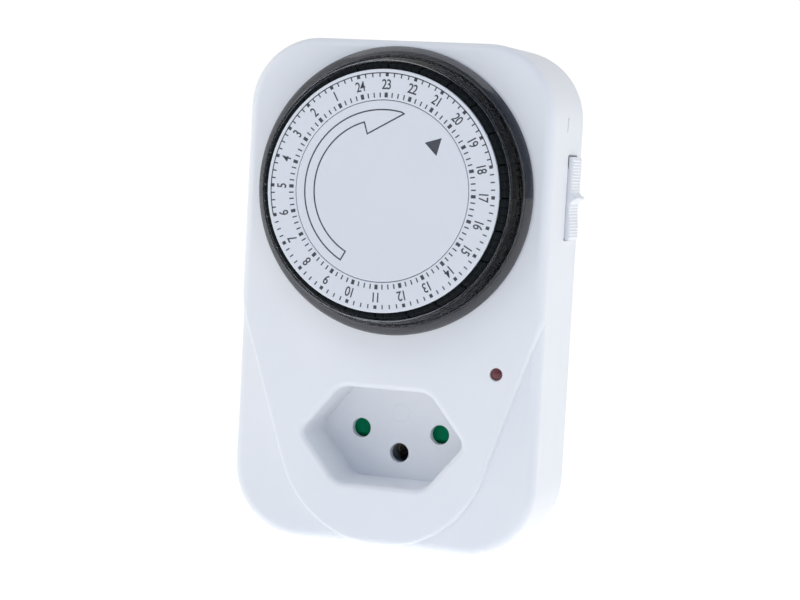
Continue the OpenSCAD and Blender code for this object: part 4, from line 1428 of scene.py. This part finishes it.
@dataclass
class SideSwitch:
    """The sliding switch in the right-hand wall, its grip serrated, with a pointed fin.

    Its base slides behind the wall, a tongue reaches from it to the wedge, and the wedge moves the
    lever. Heights are (from, to), hollows are the grip's dips below and above the fin, wedge_rear
    is how deep the wedge's two ends reach, and the mark's corners are (height, depth).
    """

    case: Case
    low: float = 71.8
    high: float = 87.5
    lips: Flat = (71.3, 90.1)
    lip_gap: float = 0.08
    lip_corner: float = 0.1
    lip_round: float = 0.3
    fin_y: float = 80.8
    fin_half: float = 1.5
    fin: float = 2.7
    fin_flat: float = 0.2
    proud: float = 1.05
    hollows: Flat = (0.3, 0.05)
    hollow_l: float = 6.0
    ribs: int = 26
    rib_rise: float = 0.18
    rib_margin: float = 0.4
    depth: Flat = (15.35, 23.5)
    play: float = 0.2
    base_thick: float = 1.4
    base_y: Flat = (68.0, 91.0)
    base_front: float = 13.6
    tongue_y: Flat = (77.0, 84.0)
    tongue_front: float = 5.0
    overlap: float = 0.1
    wedge_y: Flat = (78.2, 83.0)
    wedge_rear: Flat = (7.32, 5.4)
    mark: tuple[Flat, ...] = ((95.4, 12.45), (95.4, 12.8), (98.7, 13.35), (98.7, 13.0))
    mark_rise: float = 0.06

    def _grip(self) -> list[Flat]:
        """The grip's outline seen from the front, as (x, y) from the bottom to the top."""
        points, (low, high) = [], self.lips
        for k in range(self.ribs * 2 + 1):
            y = low + self.rib_margin + (high - low - 2 * self.rib_margin) * k / (self.ribs * 2)
            off = y - self.fin_y
            dip = self.hollows[0] if off < 0 else self.hollows[1]
            hollow = dip * math.sin(math.pi * min(abs(off) / self.hollow_l, 1.0))
            rise = self.rib_rise if k % 2 else 0.0
            peak = (self.fin - self.proud - self.fin_flat) * max(0.0, 1 - abs(off) / self.fin_half) ** 2
            points.append((self.case.half_w + self.proud - hollow + rise + peak, y))
        return points

    def _thumb(self, bm: bmesh.types.BMesh, inner: float) -> None:
        """Adds the grip with its lips over the window, their ends rounded."""
        outside = self.case.half_w + self.lip_gap
        end = self.case.half_w + self.proud - self.lip_corner
        root, (low, high) = inner - self.play, self.lips
        grip = [(root, self.low), (outside, self.low), (outside, low), (end, low), *self._grip(),
                (end, high), (outside, high), (outside, self.high), (root, self.high)]
        prism(bm, *([(*p, depth) for p in grip] for depth in self.depth))
        bmesh.ops.recalc_face_normals(bm, faces=bm.faces)
        ends = [e for e in bm.edges if e.is_manifold and len({round(v.co.y, 6) for v in e.verts}) == 1
                and min(v.co.x for v in e.verts) > (outside + self.lip_corner) * MM]
        bmesh.ops.bevel(bm, geom=ends, offset=self.lip_round * MM, segments=3, profile=0.5, affect="EDGES")

    def build(self) -> None:
        """Builds the switch and the mark above it."""
        box, bm = span("override_slider"), bmesh.new()
        inner = self.case.half_w - self.case.side_wall - self.play
        self._thumb(bm, inner)
        root = inner - self.base_thick
        tongue_rear = self.base_front + self.overlap
        for x, (low, high), depths in (
            (inner, self.base_y, (self.base_front, box.high[2])),
            (inner - self.overlap, self.tongue_y, (self.tongue_front, tongue_rear)),
        ):
            block = [(root, low), (x, low), (x, high), (root, high)]
            prism(bm, *([(*p, depth) for p in block] for depth in depths))
        wedge = [*((y, box.low[2]) for y in self.wedge_y),
                 *zip(reversed(self.wedge_y), reversed(self.wedge_rear))]
        prism(bm, *([(x, *p) for p in wedge] for x in (box.low[0], root + self.overlap)))
        piece = solid("side_switch", bm, Finish.CASE_WHITE.material())
        fit(piece, "override", "white_housing", "override_slider")
        self._mark()

    def _mark(self) -> None:
        """A fine raised stroke above the switch, the generic sign for on, coloured grey as painted shade of
        a moulded line.
        """
        bm, wall = bmesh.new(), self.case.half_w
        prism(bm, *([(x, *p) for p in self.mark] for x in (wall + self.mark_rise, wall - self.overlap)))
        fit(solid("switch_on_mark", bm, Finish.MARK_GREY.material()), "housing", "white_housing")


@dataclass
class PilotLamp:
    """The red lens of the pilot lamp, domed behind its hole."""

    case: Case
    lens_r: float = 1.35
    sink: float = 0.12
    crown: float = 0.4
    steps: int = 6
    seat_r: float = 0.3

    def build(self) -> bpy.types.Object:
        """Builds the lens and dresses it."""
        box, skin = span("lamp_lens"), Skin()
        turned = Ring(self.case.lamp_at, steps=40)
        shares = [k / self.steps for k in range(1, self.steps + 1)]
        crown = [(self.lens_r * share, self.sink + self.crown * share**2) for share in shares]
        collar, wall, back = (box.high[0] - box.low[0]) / 2, self.case.front_wall, box.high[2]
        skin.sweep(turned, [*crown, (self.lens_r, wall), (collar, wall), (collar, back),
                            (self.seat_r, back)])
        skin.fill(crown[0][1], turned.loop(crown[0][0]))
        skin.fill(back, turned.loop(self.seat_r))
        piece = skin.piece("pilot_lamp_lens", Finish.LAMP_RED.material())
        return fit(piece, "housing", "lamp_red", "lamp_lens")


@dataclass
class ShutterSpring:
    """The wire spring over the safety shutter; the real one shortens as the pins lift the shutter, and this
    one is wound at rest.
    """

    turns: int = 9
    steps: int = 24
    sides: int = 10
    wire_r: float = 0.2
    travel: float = 5.1

    def build(self) -> bpy.types.Object:
        """Winds the wire, dresses it and fixes it to the housing."""
        box = span("shutter_spring")
        x, _, depth = box.middle()
        coil_r = (box.high[0] - box.low[0]) / 2 - self.wire_r
        foot, head = box.low[1] + self.wire_r, box.high[1] - self.wire_r
        wire = [polar(self.wire_r, 360 * k / self.sides) for k in range(self.sides)]
        bm, rings = bmesh.new(), []
        for i in range(self.turns * self.steps + 1):
            turn = 2 * math.pi * i / self.steps
            y = foot + (head - foot) * i / (self.turns * self.steps)
            places = [(x + (coil_r + u) * math.sin(turn), y + v, depth + (coil_r + u) * math.cos(turn))
                      for u, v in wire]
            rings.append([bm.verts.new(stand(place)) for place in places])
        for near, far in zip(rings, rings[1:]):
            for k in range(self.sides):
                bm.faces.new((near[k - 1], near[k], far[k], far[k - 1]))
        bm.faces.new(rings[0])
        bm.faces.new(rings[-1])
        piece = solid("shutter_spring_wire", bm, Finish.SPRING_STEEL.material())
        fit(piece, "housing", "spring_steel", "shutter_spring")
        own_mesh(piece)
        return piece


# ---- The pieces kept as their solids ----


def dress_solids() -> None:
    """Gives every solid that still shows the finish of its slot."""
    slots = {row["node"]: row["material_slot"] for row in frame["record"]["subparts"]}
    for node, shape in frame["nodes"].items():
        finish = SLOT_FINISH[slots[node]].material()
        shape.data.materials.clear()
        shape.data.materials.append(finish)
        log.info("%s is dressed in %s", node, finish.name)


# ---- The studio ----


@dataclass(frozen=True)
class Softbox:
    """A large soft lamp aimed at the timer."""

    name: str
    at: Drawn
    size: Flat
    watts: float

    def build(self, target: Vector) -> None:
        """Hangs the lamp and turns it to its target."""
        lamp = bpy.data.lights.new(self.name, "AREA")
        lamp.shape = "RECTANGLE"
        lamp.size, lamp.size_y = self.size
        lamp.energy = self.watts
        holder = bpy.data.objects.new(self.name, lamp)
        holder.location = self.at
        holder.rotation_mode = "QUATERNION"
        holder.rotation_quaternion = (target - Vector(self.at)).to_track_quat("-Z", "Y")
        bpy.context.scene.collection.objects.link(holder)


@dataclass(frozen=True)
class DimSide:
    """A stretch of the tent that gives less light, spread degrees to each side of a direction."""

    towards: Drawn
    spread: float
    colour: Colour


@dataclass
class Studio:
    """A pale floor, soft light all round and the camera."""

    target: Drawn = (0.00273, -0.01375, 0.05621)
    distance: float = 0.4633
    azimuth: float = 17.88
    elevation: float = 3.95
    roll: float = 3.09
    lens: float = 93.48
    sensor: float = 36.0
    nearest: float = 0.01
    tent: Colour = (0.725, 0.725, 0.725)
    dim_side: DimSide = DimSide((0.42, -0.80, 0.42), 75.0, (0.10, 0.17, 0.30))
    backdrop: Colour = (1.04, 1.04, 1.04)
    softboxes: tuple[Softbox, ...] = (
        Softbox("softbox_right", (0.9, -0.1, 0.3), (0.7, 0.9), 1.25),
        Softbox("softbox_left", (-0.75, -0.75, 0.35), (0.3, 0.6), 0.4),
        Softbox("softbox_top", (-0.13, -0.55, 0.74), (0.9, 0.3), 1.25),
    )
    floor_size: float = 12.0
    paper: tuple[Colour, Colour] = ((0.86, 0.865, 0.87), (0.88, 0.885, 0.89))
    paper_grain: float = 40.0
    paper_roughness: float = 0.9
    paper_glow: float = 0.54

    def build(self) -> None:
        """Builds the floor, the lights and the camera."""
        for softbox in self.softboxes:
            softbox.build(Vector(self.target))
        self._floor()
        self._surround()
        self._camera()
        bpy.context.scene.view_settings.view_transform = "Standard"

    def _camera(self) -> None:
        """Sets the camera round its target."""
        camera = bpy.data.cameras.new("camera")
        camera.lens, camera.sensor_width, camera.clip_start = self.lens, self.sensor, self.nearest
        holder = bpy.data.objects.new("camera", camera)
        a, e = math.radians(self.azimuth), math.radians(self.elevation)
        back = Vector((math.sin(a) * math.cos(e), -math.cos(a) * math.cos(e), math.sin(e)))
        roll = Matrix.Rotation(math.radians(self.roll), 3, "Z")
        turn = (-back).to_track_quat("-Z", "Y").to_matrix() @ roll
        holder.matrix_world = Matrix.Translation(Vector(self.target) + back * self.distance) @ turn.to_4x4()
        bpy.context.scene.collection.objects.link(holder)
        bpy.context.scene.camera = holder

    def _floor(self) -> None:
        """Lays a wide pale floor under the timer."""
        bpy.ops.mesh.primitive_plane_add(size=self.floor_size)
        floor = bpy.context.object
        floor.name = "studio_floor"
        bench = Bench("floor_pale_paper")
        bench.tint(bench.grain(self.paper_grain, detail=3.0), *self.paper)
        bench.put(bench.shader, Roughness=self.paper_roughness, Emission_Color=(1.0, 1.0, 1.0, 1.0),
                  Emission_Strength=self.paper_glow)
        floor.data.materials.append(bench.material)

    def _surround(self) -> None:
        """Hangs a white tent round the timer, with its dim side, and a white backdrop behind it."""
        world = bpy.data.worlds.new("studio_tent")
        world.use_nodes = True
        nodes, links = world.node_tree.nodes, world.node_tree.links
        place = nodes.new("ShaderNodeTexCoord")
        towards = nodes.new("ShaderNodeVectorMath")
        towards.operation = "DOT_PRODUCT"
        towards.inputs[1].default_value = Vector(self.dim_side.towards).normalized()
        ramp = nodes.new("ShaderNodeMapRange")
        ramp.interpolation_type = "SMOOTHSTEP"
        ramp.inputs["From Min"].default_value = math.cos(math.radians(self.dim_side.spread))
        seen = nodes.new("ShaderNodeLightPath")
        tent, backdrop = nodes.new("ShaderNodeMixRGB"), nodes.new("ShaderNodeMixRGB")
        tent.inputs["Color1"].default_value = (*self.tent, 1.0)
        tent.inputs["Color2"].default_value = (*self.dim_side.colour, 1.0)
        backdrop.inputs["Color2"].default_value = (*self.backdrop, 1.0)
        links.new(place.outputs["Generated"], towards.inputs[0])
        links.new(towards.outputs["Value"], ramp.inputs["Value"])
        links.new(ramp.outputs["Result"], tent.inputs["Fac"])
        links.new(seen.outputs["Is Camera Ray"], backdrop.inputs["Fac"])
        links.new(tent.outputs["Color"], backdrop.inputs["Color1"])
        links.new(backdrop.outputs["Color"], nodes["Background"].inputs["Color"])
        bpy.context.scene.world = world


def main() -> None:
    """Builds the timer piece by piece and sets it in the studio."""
    Studio().build()
    dress_solids()
    case, face = Case(), DialFace()
    cover = RearCover(case)
    pieces = (case, SocketFloor(case), cover, CoverScrews(cover), face, TappetCrown(face),
              DialSkirt(face), SideSwitch(case), PilotLamp(case), ShutterSpring())
    for piece in pieces:
        piece.build()
    bpy.context.view_layer.update()


if __name__ == "__main__":
    main()
